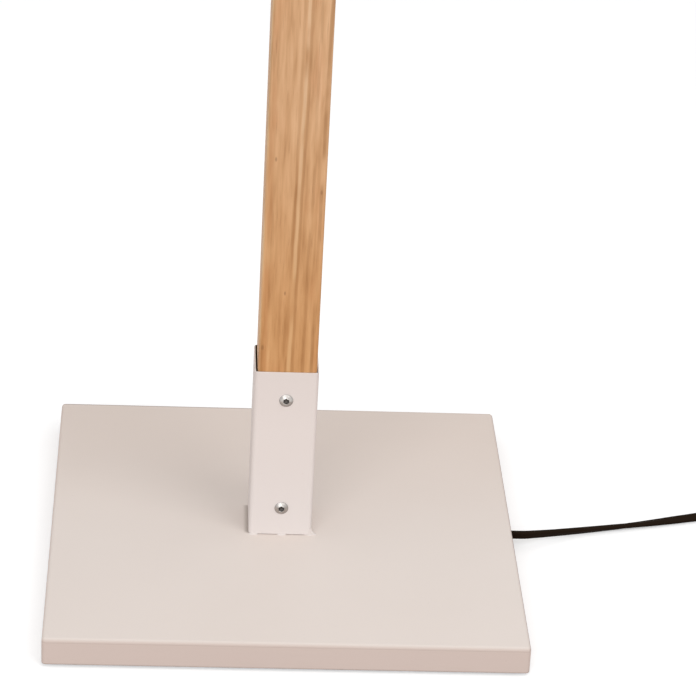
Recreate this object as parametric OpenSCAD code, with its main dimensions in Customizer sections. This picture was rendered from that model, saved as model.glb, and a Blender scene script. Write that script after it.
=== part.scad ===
// Timber floor lamp with a swinging and tilting arm.
// Millimetres. The floor is z = 0, +Z is up, the arm points along +X and the lamp's front faces -Y.

/* [Base] */
// Side of the square steel tray
base_w = 300; // [260:1:360]
// Height of the tray's folded skirt
base_h = 18; // [17:0.5:30]
// Sheet thickness of the tray
base_wall = 1.5; // [1:0.1:2.5]
// Outside radius of the tray's folds
base_bend = 2.5; // [1.6:0.1:5]
// Distance of the tray's middle to the right of the post
base_x = 2; // [0:0.5:10]
// Distance of the tray's middle behind the post
base_y = 2; // [0:0.5:10]
// Thickness of the foam pad under the tray
pad_h = 2; // [2:0.5:4]
// Distance of the pad's edge from the tray's edge
pad_inset = 4; // [3:0.5:12]
// Thickness of the bottom cover
cover_t = 1.5; // [1:0.1:2.5]
// Side of the square ballast block
ballast_w = 236; // [180:1:240]

/* [Post] */
// Width of the timber post, left to right
post_w = 37.5; // [32:0.5:50]
// Depth of the timber post, front to back
post_d = 35; // [31:0.5:46]
// Length of the timber post
post_len = 1330; // [600:5:1600]
// Rounding of the timber's long edges
timber_round = 1.6; // [0.5:0.1:3]
// Width of the cable grooves in post and arm
groove_w = 8; // [7:0.5:12]
// Depth of the cable groove in the post's back
groove_d = 10; // [9.5:0.5:11]
// Thickness of the strips that close the grooves
strip_t = 3; // [2:0.1:3]

/* [Socket and cap] */
// Sheet thickness of socket and cap
socket_wall = 1; // [1:0.1:2.5]
// Gap between timber and steel at the front, the back and the right
socket_gap = 0.3; // [0.2:0.1:1]
// Gap between timber and steel on the left
socket_gap_left = 0.9; // [0.2:0.1:2]
// Height of the socket on the base
socket_h = 119; // [80:1:200]
// Outside corner radius of socket and cap
socket_bend = 2.6; // [1.6:0.1:5]
// Height of the cap's skirt
cap_h = 60; // [50:1:100]
// Distance of the screws from the socket's ends
screw_inset = 20; // [12:0.5:30]

/* [Screws] */
// Head diameter of the timber screws
screw_head_d = 8.8; // [7:0.1:11]
// Head height of the timber screws
screw_head_h = 1.9; // [1.8:0.1:4]
// Shank diameter of the timber screws
screw_d = 4.5; // [3.5:0.1:5]
// Length of the timber screws under the head
screw_len = 12; // [10:0.5:13]
// Key size of the screws' hexagon sockets
screw_key = 3; // [2:0.5:4]

/* [Arm] */
// Width of the timber arm
arm_w = 24; // [20:0.5:34]
// Height of the timber arm
arm_h = 34; // [30:0.5:40]
// Reach of the arm in front of its hinge
arm_reach = 520; // [350:5:700]
// Length of the arm behind its hinge
arm_tail = 130; // [60:5:220]
// Height of the hinge above the yoke's floor
hinge_rise = 48; // [46:0.5:70]
// Sheet thickness of the yoke
yoke_t = 3; // [2:0.1:4]
// Width of the yoke's cheeks
yoke_w = 36; // [30:0.5:40]
// Diameter of both hinge bolts
bolt_d = 8; // [6:0.5:9]
// Outside diameter of the hollow swivel stem
stem_d = 14; // [12:0.5:18]

/* [Head] */
// Largest outside diameter of the shade
shade_d = 230; // [160:1:300]
// Height of the shade
shade_h = 140; // [125:1:200]
// Outside diameter of the lampholder cup
cup_d = 50; // [48:0.5:60]
// Height of the lampholder cup
cup_h = 70; // [66:1:90]
// Distance of the cup's top below the head's hinge
cup_drop = 30; // [24:0.5:50]
// Diameter of both clamp knobs
knob_d = 34; // [28:0.5:44]
// Travel of the switch button
press = 2.5; // [1.5:0.1:3]

/* [Cord] */
// Width of the flat twin cord
cord_w = 5.8; // [4.8:0.1:6]
// Thickness of the flat twin cord
cord_t = 3.4; // [2.8:0.1:4]

/* [Hidden] */
$fn = 64;
fit = 0.1;
slide = 0.2;
over = 1;

// Heights of the fixed stack
z_deck = pad_h + base_h;
z_post = z_deck + post_len;
cap_top = 2;
z_cap = z_post + cap_top;
pad_washer_t = 2;
z_yoke = z_cap + pad_washer_t;
z_floor = z_yoke + yoke_t;
steel_washer_t = 1.5;
nut_h = 6;
nut_af = stem_d + 8;
z_nut = z_floor + steel_washer_t;
z_stem = z_nut + nut_h + 2;
stem_bore = cord_w + 2.2;

// Socket and cap outlines
socket_x = (socket_gap - socket_gap_left) / 2;
socket_in_w = post_w + socket_gap + socket_gap_left;
socket_in_d = post_d + 2 * socket_gap;
socket_w = socket_in_w + 2 * socket_wall;
socket_d = socket_in_d + 2 * socket_wall;
socket_in_bend = max(socket_bend - socket_wall, 0.4);
socket_front = -socket_d / 2;
weld_r = 2.4;
weld_in = 0.8;
weld_back_in = 8;
cap_screw_inset = 15;
pilot_d = screw_d + fit;
key_deep = 1.4;
clear_d = screw_d + 0.5;

// Cable lane in the post and in the base
lane_y = post_d / 2 - groove_d + cord_w / 2 + 0.5;
gland_x = base_x + base_w / 2;
gland_y = base_y + 4.7;
gland_z = pad_h + 6.5;
gland_d = cord_w + 2.8;
gland_bore = cord_w + 0.4;
gland_flange_d = gland_d + 1.6;
gland_flange = 1;
gland_tail = 22;
lane_bend = 14;
lane_room = 5;
slot_y = -(cord_w / 2 + 1.3);
slot_h = cap_h - 2;
cable_hole = cord_w + 5;

// Ballast and its cover
z_ballast = pad_h + cover_t;
ballast_h = base_h - cover_t - base_wall;
cover_gap = 0.3;
cover_screw_d = 4;
cover_screw_len = 9;
cover_head_d = 8;
cover_head_h = pad_h - 0.4;
cover_screw_at = ballast_w / 2 - 18;

// Arm, hinge and yoke
z_hinge = z_floor + hinge_rise;
arm_bottom = z_hinge - arm_h / 2;
arm_top = z_hinge + arm_h / 2;
bush_flange_t = 1;
bush_d = bolt_d + 3;
bush_flange_d = bolt_d + 14;
yoke_in = arm_w + 2 * bush_flange_t + 0.2;
yoke_out = yoke_in + 2 * yoke_t;
yoke_bend = yoke_t + 1;
bolt_head_d = 2 * bolt_d;
bolt_head_h = 0.6 * bolt_d;
bolt_tip = 12;
knob_hub_d = 0.45 * knob_d;
knob_hub_h = 4;
knob_h = 15;
knob_lobe = 0.06 * knob_d;
knob_washer_t = 1.5;
knob_washer_d = 2.2 * bolt_d;
arm_groove_d = 8.8;
arm_groove_x = -10;
arm_lead_x = 34;
arm_strip_x = arm_lead_x + 4;
arm_lane = arm_bottom + strip_t + cord_t / 2 + 1;

// Fork at the arm's front end and the head's hinge
fork_t = 2;
fork_len = 58;
fork_bend = fork_t + 1.2;
ear_r = 14;
head_x = arm_reach - 20;
head_z = arm_bottom - 20;
fork_in = arm_w;
fork_out = fork_in + 2 * fork_t;
fork_screw_z = z_hinge + 6;
fork_screw_in = 10;
head_washer_t = 1;
lug_len = fork_in - 2 * head_washer_t - 0.2;
lug_d = 24;
rod_d = 12;
drop_x = head_x - fork_len / 2 - 4;
drop_bend = 10;
drop_low = arm_lane - drop_bend - 4;
drop_room = 6;
fork_screw_len = screw_len - 3;

// Lampholder cup, shade and bulb
cup_t = 1.2;
cup_bend = 6;
z_cup = head_z - cup_drop;
z_shade = z_cup - cup_h;
cup_screw_d = 3;
cup_screw_head_d = 5.5;
cup_screw_head_h = 1.6;
holder_d = 39;
holder_low = 30;
holder_high = 42;
holder_bore = 27.2;
shade_t = 1.2;
shade_side = 1.2;
shade_top_d = cup_d + 10;
ring_d = 56;
ring_h = 8;
bulb_cap_d = 26.4;
bulb_cap_h = 27;
bulb_d = 60;
bulb_drop = 52;
bulb_wall = 1.2;
grommet_x = head_x - cup_d / 2 + 11;
grommet_d = cord_w + 3;
grommet_bore = cord_w + 0.4;
grommet_rise = 2;
switch_z = z_cup - 13;
switch_body_d = 13;
switch_neck_d = 10.6;
switch_bezel_d = 14;
switch_bezel_t = 2.5;
button_d = 8;
button_out = switch_bezel_t + press + 1.5;
button_in = 5;

// Cord on the floor: points as [right of the gland, back from the gland, height], and the roll there
cord_x = gland_x + gland_flange;
tie_t = 1;
lay_z = cord_w / 2 + tie_t + 0.2;
ROUTE = [
    [8, 0, gland_z],
    [15, 2, 7.8],
    [29, 8.4, 5.4],
    [49, 16.2, 3.2],
    [71, 22.2, 2.6],
    [95, 28.3, 2.5],
    [120, 34.5, 3],
    [150, 42.3, 3.6],
    [175, 48.8, lay_z]
];
ROLLS = [0, 8, 20, 33, 46, 78, 118, 168, 180];
coil_c = [cord_x + 200.4, gland_y + 97.2];
coil_start = -76;
coil_r = 33;
coil_gap = 0.8;
coil_pitch = cord_t + coil_gap;
coil_lift = cord_w + coil_gap;
coil_turns = (8 - (90 + coil_start) / 360 - 0.5) / 2;
coil_out = coil_r + coil_turns * coil_pitch / 2;
coil_in = coil_out - coil_turns * coil_pitch;
coil_end = cord_w;
plug_len = 36;
plug_w = 35;
plug_h = 13.7;
pin_d = 4;
pin_gap = 18.6;
pin_len = 19;
tail_x = coil_c[0] + 78;
tail_y = coil_c[1] - coil_out - 0.1;

// Colours
WHITE = [0.90, 0.87, 0.85];
TIMBER = [0.80, 0.60, 0.40];
STEEL = [0.75, 0.75, 0.76];
IRON = [0.30, 0.30, 0.31];
BLACK = [0.08, 0.07, 0.07];
NYLON = [0.92, 0.92, 0.90];
BRASS = [0.80, 0.68, 0.38];
OPAL = [0.97, 0.96, 0.92];

// Outlines
function arc(c, r, a0, a1, n) =
    [for (i = [0:n]) c + r * [cos(a0 + (a1 - a0) * i / n), sin(a0 + (a1 - a0) * i / n)]];

function round_rect(w, d, r) = concat(
    arc([w / 2 - r, d / 2 - r], r, 0, 90, 5),
    arc([r - w / 2, d / 2 - r], r, 90, 180, 5),
    arc([r - w / 2, r - d / 2], r, 180, 270, 5),
    arc([w / 2 - r, r - d / 2], r, 270, 360, 5)
);

function arch(w, h, r) = concat(
    [[-w / 2, 0], [w / 2, 0]],
    arc([w / 2 - r, h - r], r, 0, 90, 5),
    arc([r - w / 2, h - r], r, 90, 180, 5)
);

function channel(w_in, t, h, r) = concat(
    [[-w_in / 2 - t, h]],
    arc([r - w_in / 2 - t, r], r, 180, 270, 5),
    arc([w_in / 2 + t - r, r], r, 270, 360, 5),
    [[w_in / 2 + t, h], [w_in / 2, h]],
    arc([w_in / 2 - (r - t), r], r - t, 0, -90, 5),
    arc([(r - t) - w_in / 2, r], r - t, 270, 180, 5),
    [[-w_in / 2, h]]
);

function lobes(r, a, n) =
    [for (i = [0:8 * n - 1]) (r - a + a * cos(45 * i)) * [cos(45 * i / n), sin(45 * i / n)]];

function shade_r(s) = shade_top_d / 2 + (shade_d - shade_top_d) / 2 * (0.72 * s + 0.28 * sin(90 * s));

// Swept tubes of flat cord
function unit(v) = v / norm(v);

function spline(a, b, c, d, s) = 0.5 * (
    2 * b + (c - a) * s + (2 * a - 5 * b + 4 * c - d) * s * s + (3 * b - a - 3 * c + d) * s * s * s
);

function through(p, m) = concat(
    [
        for (i = [0:len(p) - 2])
            for (j = [0:m - 1])
                spline(p[max(i - 1, 0)], p[i], p[i + 1], p[min(i + 2, len(p) - 1)], j / m)
    ],
    [p[len(p) - 1]]
);

function tangent(p, i) = unit(p[min(i + 1, len(p) - 1)] - p[max(i - 1, 0)]);

function ring(c, t, ref, roll, w, h, n) =
    let (u = unit(ref - (ref * t) * t))
    let (v = cross(t, u))
    let (wide = cos(roll) * u + sin(roll) * v)
    let (thin = cos(roll) * v - sin(roll) * u)
    [for (k = [0:n - 1]) c + wide * w / 2 * cos(360 * k / n) + thin * h / 2 * sin(360 * k / n)];

module flat_tube(p, rolls, ref, n) {
    m = len(p);
    points = [for (i = [0:m - 1]) each ring(p[i], tangent(p, i), ref, rolls[i], cord_w, cord_t, n)];
    sides = [
        for (i = [0:m - 2])
            for (k = [0:n - 1])
                each [
                    [i * n + k, (i + 1) * n + k, (i + 1) * n + (k + 1) % n],
                    [i * n + k, (i + 1) * n + (k + 1) % n, i * n + (k + 1) % n]
                ]
    ];
    first = [for (k = [1:n - 2]) [0, k, k + 1]];
    last = [for (k = [1:n - 2]) [(m - 1) * n, (m - 1) * n + k + 1, (m - 1) * n + k]];
    polyhedron(points = points, faces = concat(sides, first, last), convexity = 10);
}

function same(p, r) = [for (i = [0:len(p) - 1]) r];

// The coil: in on the lower layer, up in half a turn, out on the upper layer
function ease(s) = s * s * (3 - 2 * s);

function coil_radius(a) =
    a < 360 * coil_turns ? coil_out - coil_pitch * a / 360 :
    a < 360 * coil_turns + 180 ? coil_in - coil_pitch / 4 * sin(a - 360 * coil_turns) :
    coil_in + coil_pitch * (a - 360 * coil_turns - 180) / 360;

function coil_z(a) = lay_z + coil_lift * ease(min(max((a - 360 * coil_turns) / 180, 0), 1));

function coil_point(a) = [
    coil_c[0] + coil_radius(a) * cos(coil_start + a),
    coil_c[1] + coil_radius(a) * sin(coil_start + a),
    coil_z(a)
];

coil_all = 360 * (2 * coil_turns + 0.5);
coil_steps = round(coil_all / 15);
coil_way = [for (i = [0:coil_steps]) coil_point(coil_all * i / coil_steps)];
coil_t0 = [cos(coil_start + 90), sin(coil_start + 90), 0];
coil_t1 = [cos(coil_start + 90 + coil_all), sin(coil_start + 90 + coil_all), 0];
coil_path = concat(
    [coil_way[0] - coil_t0 * coil_end],
    coil_way,
    [coil_way[coil_steps] + coil_t1 * coil_end]
);

function apart(a, b) =
    let (flat = norm([a[0] - b[0], a[1] - b[1]]))
    let (high = max(abs(a[2] - b[2]) - (cord_w - cord_t), 0))
    norm([flat, high]) - cord_t;

coil_least = min([
    for (i = [0:coil_steps - 12])
        for (j = [i + 12:coil_steps])
            apart(coil_way[i], coil_way[j])
]);
echo(coil_least_gap = coil_least);

// Shared shapes
module wood_screw(length) {
    cap_r = (screw_head_d * screw_head_d / 4 + screw_head_h * screw_head_h) / (2 * screw_head_h);
    difference() {
        intersection() {
            translate([0, 0, screw_head_h - cap_r]) sphere(r = cap_r);
            cylinder(d = screw_head_d, h = screw_head_h + over);
        }
        translate([0, 0, screw_head_h - key_deep])
            cylinder(d = screw_key / cos(30), h = key_deep + over, $fn = 6);
    }
    translate([0, 0, -length]) cylinder(d = screw_d, h = length);
}

module sheet_tube(height, top) {
    translate([socket_x, 0, 0]) difference() {
        linear_extrude(height + top) polygon(round_rect(socket_w, socket_d, socket_bend));
        translate([0, 0, -over])
            linear_extrude(height + over) polygon(round_rect(socket_in_w, socket_in_d, socket_in_bend));
    }
}

module front_holes(heights, d, depth) {
    for (z = heights)
        translate([0, socket_front + depth, z]) rotate([90, 0, 0]) cylinder(d = d, h = depth + over);
}

module front_screws(heights) {
    for (z = heights)
        translate([0, socket_front, z]) rotate([90, 0, 0]) wood_screw(screw_len);
}

module knob(bore_depth) {
    difference() {
        union() {
            cylinder(d = knob_hub_d, h = knob_hub_h + over);
            translate([0, 0, knob_hub_h]) linear_extrude(knob_h - knob_hub_h)
                polygon(lobes(knob_d / 2, knob_lobe, 6));
        }
        translate([0, 0, -over]) cylinder(d = bolt_d + fit, h = bore_depth + over);
    }
}

module hinge_pin(half, tip) {
    translate([0, half, 0]) rotate([-90, 0, 0]) cylinder(d = bolt_head_d, h = bolt_head_h);
    translate([0, half, 0]) rotate([90, 0, 0]) cylinder(d = bolt_d, h = 2 * half + tip);
}

socket_screw_z = [z_deck + screw_inset, z_deck + socket_h - screw_inset];
cap_screw_z = [z_post - cap_h + cap_screw_inset, z_post - cap_screw_inset];
hinge_half = yoke_out / 2;
head_half = fork_out / 2;
fork_screw_x = [arm_reach - fork_len + fork_screw_in, arm_reach - fork_screw_in];

// Base
module on_tray() {
    translate([base_x, base_y, 0]) children();
}

module base_pad() {
    color(BLACK) on_tray() difference() {
        linear_extrude(pad_h)
            polygon(round_rect(base_w - 2 * pad_inset, base_w - 2 * pad_inset, base_bend));
        cover_screw_places() translate([0, 0, -over]) cylinder(d = cover_head_d + 3, h = pad_h + 2 * over);
    }
}

module cover_screw_places() {
    for (x = [-cover_screw_at, cover_screw_at])
        for (y = [-cover_screw_at, cover_screw_at])
            translate([x, y, 0]) children();
}

module bottom_cover() {
    side = base_w - 2 * base_wall - 2 * cover_gap;
    color(STEEL) on_tray() difference() {
        translate([-side / 2, -side / 2, pad_h]) cube([side, side, cover_t]);
        cover_screw_places() translate([0, 0, pad_h - over])
            cylinder(d = cover_screw_d + 0.5, h = cover_t + 2 * over);
    }
}

module cover_screws() {
    color(STEEL) on_tray() cover_screw_places() {
        translate([0, 0, pad_h - cover_head_h]) cylinder(d = cover_head_d, h = cover_head_h);
        translate([0, 0, pad_h - 0.1]) cylinder(d = cover_screw_d, h = cover_screw_len + 0.1);
    }
}

module ballast_block() {
    lane_w = lane_y - gland_y + gland_d + 2 * lane_room;
    color(IRON) difference() {
        on_tray() translate([-ballast_w / 2, -ballast_w / 2, z_ballast])
            cube([ballast_w, ballast_w, ballast_h]);
        translate([-cable_hole, gland_y - gland_d / 2 - lane_room, z_ballast - over])
            cube([ballast_w, lane_w, ballast_h + 2 * over]);
        on_tray() cover_screw_places() translate([0, 0, z_ballast - over])
            cylinder(d = cover_screw_d + fit, h = cover_screw_len - cover_t + 2 * over);
    }
}

module base_shell() {
    room = base_w - 2 * base_wall;
    color(WHITE) difference() {
        on_tray() translate([0, 0, pad_h]) intersection() {
            linear_extrude(base_h) polygon(round_rect(base_w, base_w, base_bend));
            rotate([90, 0, 0]) linear_extrude(base_w + 2, center = true)
                polygon(arch(base_w, base_h, base_bend));
            rotate([90, 0, 90]) linear_extrude(base_w + 2, center = true)
                polygon(arch(base_w, base_h, base_bend));
        }
        on_tray() translate([-room / 2, -room / 2, pad_h - over])
            cube([room, room, base_h - base_wall + over]);
        translate([0, lane_y, z_deck - base_wall - over]) cylinder(d = cable_hole, h = base_wall + 2 * over);
        translate([gland_x - base_wall - over, gland_y, gland_z]) rotate([0, 90, 0])
            cylinder(d = gland_d + fit, h = base_wall + 2 * over);
    }
}

module cord_gland() {
    color(BLACK) translate([gland_x, gland_y, gland_z]) rotate([0, 90, 0]) difference() {
        union() {
            cylinder(d = gland_flange_d, h = gland_flange);
            translate([0, 0, -base_wall - 2]) cylinder(d = gland_d, h = base_wall + 2);
            translate([0, 0, -base_wall - gland_tail])
                cylinder(d1 = gland_bore + 1.2, d2 = gland_d, h = gland_tail - 2);
        }
        translate([0, 0, -base_wall - gland_tail - over])
            cylinder(d = gland_bore, h = base_wall + gland_tail + gland_flange + 2 * over);
    }
}

// Post
module post_socket() {
    color(WHITE) difference() {
        translate([0, 0, z_deck]) sheet_tube(socket_h + over, 0);
        translate([-socket_w, -socket_d, z_deck + socket_h]) cube([2 * socket_w, 2 * socket_d, 2 * over]);
        front_holes(socket_screw_z, clear_d, socket_wall + socket_gap / 2);
    }
}

module socket_welds() {
    half = socket_w / 2;
    color(WHITE) translate([socket_x, 0, 0]) difference() {
        union() {
            translate([0, socket_front, z_deck]) sphere(r = weld_r);
            for (side = [-1, 1]) {
                translate([side * (half - weld_in), socket_front + weld_in, z_deck]) sphere(r = weld_r);
                translate([side * (half - weld_back_in), -socket_front, z_deck]) sphere(r = weld_r);
            }
        }
        translate([-base_w / 2, -base_w / 2, z_deck - base_h]) cube([base_w, base_w, base_h]);
        translate([0, 0, z_deck - over])
            linear_extrude(socket_h) polygon(round_rect(socket_w, socket_d, socket_bend));
    }
}

module socket_screws() {
    color(STEEL) front_screws(socket_screw_z);
}

module post() {
    back = post_d / 2;
    color(TIMBER) difference() {
        translate([0, 0, z_deck]) linear_extrude(post_len) polygon(round_rect(post_w, post_d, timber_round));
        translate([-groove_w / 2, back - groove_d, z_deck - over])
            cube([groove_w, groove_d + over, post_len + 2 * over]);
        translate([-groove_w / 2, slot_y, z_post - slot_h])
            cube([groove_w, back - slot_y + over, slot_h + over]);
        front_holes(concat(socket_screw_z, cap_screw_z), pilot_d, screw_len + 0.4);
    }
}

module post_strip() {
    low = z_deck + socket_h + 1;
    high = z_post - cap_h - 1;
    color(TIMBER) translate([-groove_w / 2 + fit / 2, post_d / 2 - strip_t, low])
        cube([groove_w - fit, strip_t, high - low]);
}

module post_lead() {
    way = concat(
        [
            [cord_x, gland_y, gland_z],
            [gland_x - gland_tail - 6, gland_y, gland_z],
            [90, gland_y, gland_z],
            [60, (gland_y + lane_y) / 2, gland_z],
            [34, lane_y, gland_z],
            [lane_bend + 4, lane_y, gland_z]
        ],
        [
            for (a = [0:15:90])
                [lane_bend * (1 - sin(a)), lane_y, gland_z + lane_bend * (1 - cos(a))]
        ],
        [
            [0, lane_y, z_deck + 40],
            [0, lane_y, z_post - cap_h - 20],
            [0, lane_y, z_post - slot_h + 4],
            [0, 0.8 * lane_y, z_post - slot_h + 16],
            [0, 0.2 * lane_y, z_post - 18],
            [0, 0, z_post - 6],
            [0, 0, z_stem]
        ]
    );
    turn = concat([90, 90, 60, 30], same([for (i = [5:len(way)]) i], 0));
    color(BLACK) flat_tube(way, turn, [0, 1, 0], 8);
}

module post_cap() {
    color(WHITE) difference() {
        translate([0, 0, z_post - cap_h]) sheet_tube(cap_h, cap_top);
        front_holes(cap_screw_z, clear_d, socket_wall + socket_gap / 2);
        translate([0, 0, z_post - over]) cylinder(d = stem_bore, h = cap_top + 2 * over);
    }
}

module cap_screws() {
    color(STEEL) front_screws(cap_screw_z);
}

// Swivel and yoke
module swivel_stem() {
    color(STEEL) translate([0, 0, z_cap]) difference() {
        cylinder(d = stem_d, h = z_stem - z_cap);
        translate([0, 0, -over]) cylinder(d = stem_bore, h = z_stem - z_cap + 2 * over);
    }
}

module stem_nut() {
    color(STEEL) translate([0, 0, z_nut]) difference() {
        cylinder(d = nut_af / cos(30), h = nut_h, $fn = 6);
        translate([0, 0, -over]) cylinder(d = stem_d, h = nut_h + 2 * over);
    }
}

module swivel_pad() {
    color(NYLON) translate([0, 0, z_cap]) difference() {
        cylinder(d = min(post_d, yoke_w) - 2, h = pad_washer_t);
        translate([0, 0, -over]) cylinder(d = stem_d + slide, h = pad_washer_t + 2 * over);
    }
}

module swivel_washer() {
    color(STEEL) translate([0, 0, z_floor]) difference() {
        cylinder(d = nut_af, h = steel_washer_t);
        translate([0, 0, -over]) cylinder(d = stem_d + slide, h = steel_washer_t + 2 * over);
    }
}

module yoke() {
    tall = z_hinge - z_yoke + yoke_w / 2;
    cheek = concat(
        [[-yoke_w / 2, 0], [yoke_w / 2, 0]],
        arc([0, z_hinge - z_yoke], yoke_w / 2, 0, 180, 24)
    );
    color(WHITE) difference() {
        translate([0, 0, z_yoke]) intersection() {
            rotate([90, 0, 90]) linear_extrude(yoke_w + 2, center = true)
                polygon(channel(yoke_in, yoke_t, tall, yoke_bend));
            rotate([90, 0, 0]) linear_extrude(yoke_out + 2, center = true) polygon(cheek);
        }
        translate([0, 0, z_yoke - over]) cylinder(d = stem_d + fit, h = yoke_t + 2 * over);
        translate([0, 0, z_hinge]) rotate([90, 0, 0])
            cylinder(d = bolt_d + fit, h = yoke_out + 2 * over, center = true);
    }
}

module hinge_bolt() {
    color(STEEL) translate([0, 0, z_hinge]) hinge_pin(hinge_half, knob_washer_t + bolt_tip);
}

module knob_washer() {
    color(STEEL) translate([0, -hinge_half, z_hinge]) rotate([90, 0, 0]) difference() {
        cylinder(d = knob_washer_d, h = knob_washer_t);
        translate([0, 0, -over]) cylinder(d = bolt_d + fit, h = knob_washer_t + 2 * over);
    }
}

module hinge_lead() {
    rise = arm_lane - z_stem;
    curve = through([
        [0, 0, z_stem + 0.15 * rise],
        [0.6, 0, z_stem + 0.35 * rise],
        [3.5, 0, z_stem + 0.6 * rise],
        [10, 0, z_stem + 0.86 * rise],
        [20, 0, arm_lane - 0.02 * rise],
        [arm_lead_x - cord_w, 0, arm_lane]
    ], 2);
    way = concat([[0, 0, z_stem]], curve, [[arm_lead_x, 0, arm_lane]]);
    color(BLACK) flat_tube(way, same(way, 0), [0, 1, 0], 8);
}

module hinge_knob() {
    color(BLACK) translate([0, -hinge_half - knob_washer_t, z_hinge]) rotate([90, 0, 0]) knob(bolt_tip + 0.5);
}

// Arm
module arm() {
    color(TIMBER) difference() {
        translate([-arm_tail, 0, z_hinge]) rotate([90, 0, 90])
            linear_extrude(arm_tail + arm_reach) polygon(round_rect(arm_w, arm_h, timber_round));
        translate([0, 0, z_hinge]) rotate([90, 0, 0])
            cylinder(d = bush_d, h = arm_w + 2 * over, center = true);
        translate([arm_groove_x, -groove_w / 2, arm_bottom - over])
            cube([drop_x + drop_room - arm_groove_x, groove_w, arm_groove_d + over]);
        fork_screw_places() translate([0, 0, -fork_screw_len - over])
            cylinder(d = pilot_d, h = fork_screw_len + 2 * over);
    }
}

module fork_screw_places() {
    for (x = fork_screw_x)
        for (side = [0, 180])
            translate([x, 0, fork_screw_z]) rotate([0, 0, side])
                translate([0, -head_half, 0]) rotate([90, 0, 0]) children();
}

module arm_bushes() {
    color(NYLON) translate([0, 0, z_hinge]) for (side = [0, 180]) rotate([0, 0, side]) rotate([90, 0, 0])
        difference() {
            union() {
                translate([0, 0, arm_w / 2]) cylinder(d = bush_flange_d, h = bush_flange_t);
                translate([0, 0, 1]) cylinder(d = bush_d, h = arm_w / 2);
            }
            cylinder(d = bolt_d + fit, h = arm_w);
        }
}

module arm_strip() {
    color(TIMBER) translate([arm_strip_x, -groove_w / 2 + fit / 2, arm_bottom])
        cube([drop_x - 2 * drop_bend - arm_strip_x, groove_w - fit, strip_t]);
}

module arm_lead() {
    way = concat(
        [
            [arm_lead_x, 0, arm_lane],
            [120, 0, arm_lane],
            [drop_x - 2 * drop_bend, 0, arm_lane]
        ],
        [
            for (a = [0:18:90])
                [drop_x - drop_bend * (1 - sin(a)), 0, arm_lane - drop_bend * (1 - cos(a))]
        ],
        [[drop_x, 0, drop_low]]
    );
    color(BLACK) flat_tube(way, same(way, 0), [0, 1, 0], 8);
}

module arm_fork() {
    left = arm_reach - fork_len;
    low = z_hinge - 6;
    side = concat(
        [[left, arm_top + fork_t], [left, low], [head_x - ear_r, arm_bottom + 2]],
        arc([head_x, head_z], ear_r, 180, 360, 24),
        [[head_x + ear_r, arm_bottom + 2], [arm_reach, low], [arm_reach, arm_top + fork_t]]
    );
    tall = arm_top + fork_t - head_z + ear_r;
    color(WHITE) difference() {
        intersection() {
            translate([0, 0, arm_top + fork_t]) rotate([90, 0, 90]) mirror([0, 1, 0])
                linear_extrude(arm_reach + 10) polygon(channel(fork_in, fork_t, tall, fork_bend));
            rotate([90, 0, 0]) linear_extrude(fork_out + 2, center = true) polygon(side);
        }
        translate([head_x, 0, head_z]) rotate([90, 0, 0])
            cylinder(d = bolt_d + fit, h = fork_out + 2 * over, center = true);
        fork_screw_places() translate([0, 0, -fork_t - over]) cylinder(d = clear_d, h = fork_t + 2 * over);
    }
}

module fork_screws() {
    color(STEEL) fork_screw_places() wood_screw(fork_screw_len);
}

module head_bolt() {
    color(STEEL) translate([head_x, 0, head_z]) hinge_pin(head_half, knob_washer_t + bolt_tip);
}

module head_knob_washer() {
    color(STEEL) translate([head_x, -head_half, head_z]) rotate([90, 0, 0]) difference() {
        cylinder(d = knob_washer_d, h = knob_washer_t);
        translate([0, 0, -over]) cylinder(d = bolt_d + fit, h = knob_washer_t + 2 * over);
    }
}

module head_knob() {
    color(BLACK) translate([head_x, -head_half - knob_washer_t, head_z]) rotate([90, 0, 0])
        knob(bolt_tip + 0.5);
}

module head_lead() {
    low = z_cup + grommet_rise;
    across = grommet_x - drop_x;
    tall = drop_low - low;
    curve = through([
        [drop_x, 0, drop_low - 0.12 * tall],
        [drop_x + 0.18 * across, 0, drop_low - 0.36 * tall],
        [drop_x + 0.82 * across, 0, drop_low - 0.64 * tall],
        [grommet_x, 0, drop_low - 0.88 * tall]
    ], 2);
    way = concat([[drop_x, 0, drop_low]], curve, [[grommet_x, 0, low]]);
    color(BLACK) flat_tube(way, same(way, 0), [0, 1, 0], 8);
}

// Head
module head_lug() {
    color(WHITE) difference() {
        union() {
            translate([head_x, 0, head_z]) rotate([90, 0, 0]) cylinder(d = lug_d, h = lug_len, center = true);
            translate([head_x, 0, z_cup]) cylinder(d = rod_d, h = head_z - z_cup);
        }
        translate([head_x, 0, head_z]) rotate([90, 0, 0])
            cylinder(d = bolt_d + fit, h = lug_len + 2 * over, center = true);
    }
}

module head_washers() {
    color(NYLON) translate([head_x, 0, head_z]) for (side = [0, 180]) rotate([0, 0, side])
        translate([0, -lug_len / 2, 0]) rotate([90, 0, 0]) difference() {
            cylinder(d = lug_d - 2, h = head_washer_t);
            translate([0, 0, -over]) cylinder(d = bolt_d + fit, h = head_washer_t + 2 * over);
        }
}

module holder_cup() {
    r = cup_d / 2;
    b = cup_bend;
    wall = concat(
        [[0, 0], [0, -cup_t]],
        arc([r - b, -b], b - cup_t, 90, 0, 6),
        [[r - cup_t, -cup_h], [r, -cup_h]],
        arc([r - b, -b], b, 0, 90, 6)
    );
    color(WHITE) difference() {
        translate([head_x, 0, z_cup]) rotate_extrude() polygon(wall);
        translate([grommet_x, 0, z_cup - cup_t - over]) cylinder(d = grommet_d + fit, h = cup_t + 2 * over);
        translate([head_x + r - 4, 0, switch_z]) rotate([0, 90, 0]) cylinder(d = switch_neck_d + fit, h = 8);
        cup_screw_places() translate([0, 0, -4]) cylinder(d = cup_screw_d + 0.4, h = 8);
    }
}

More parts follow.
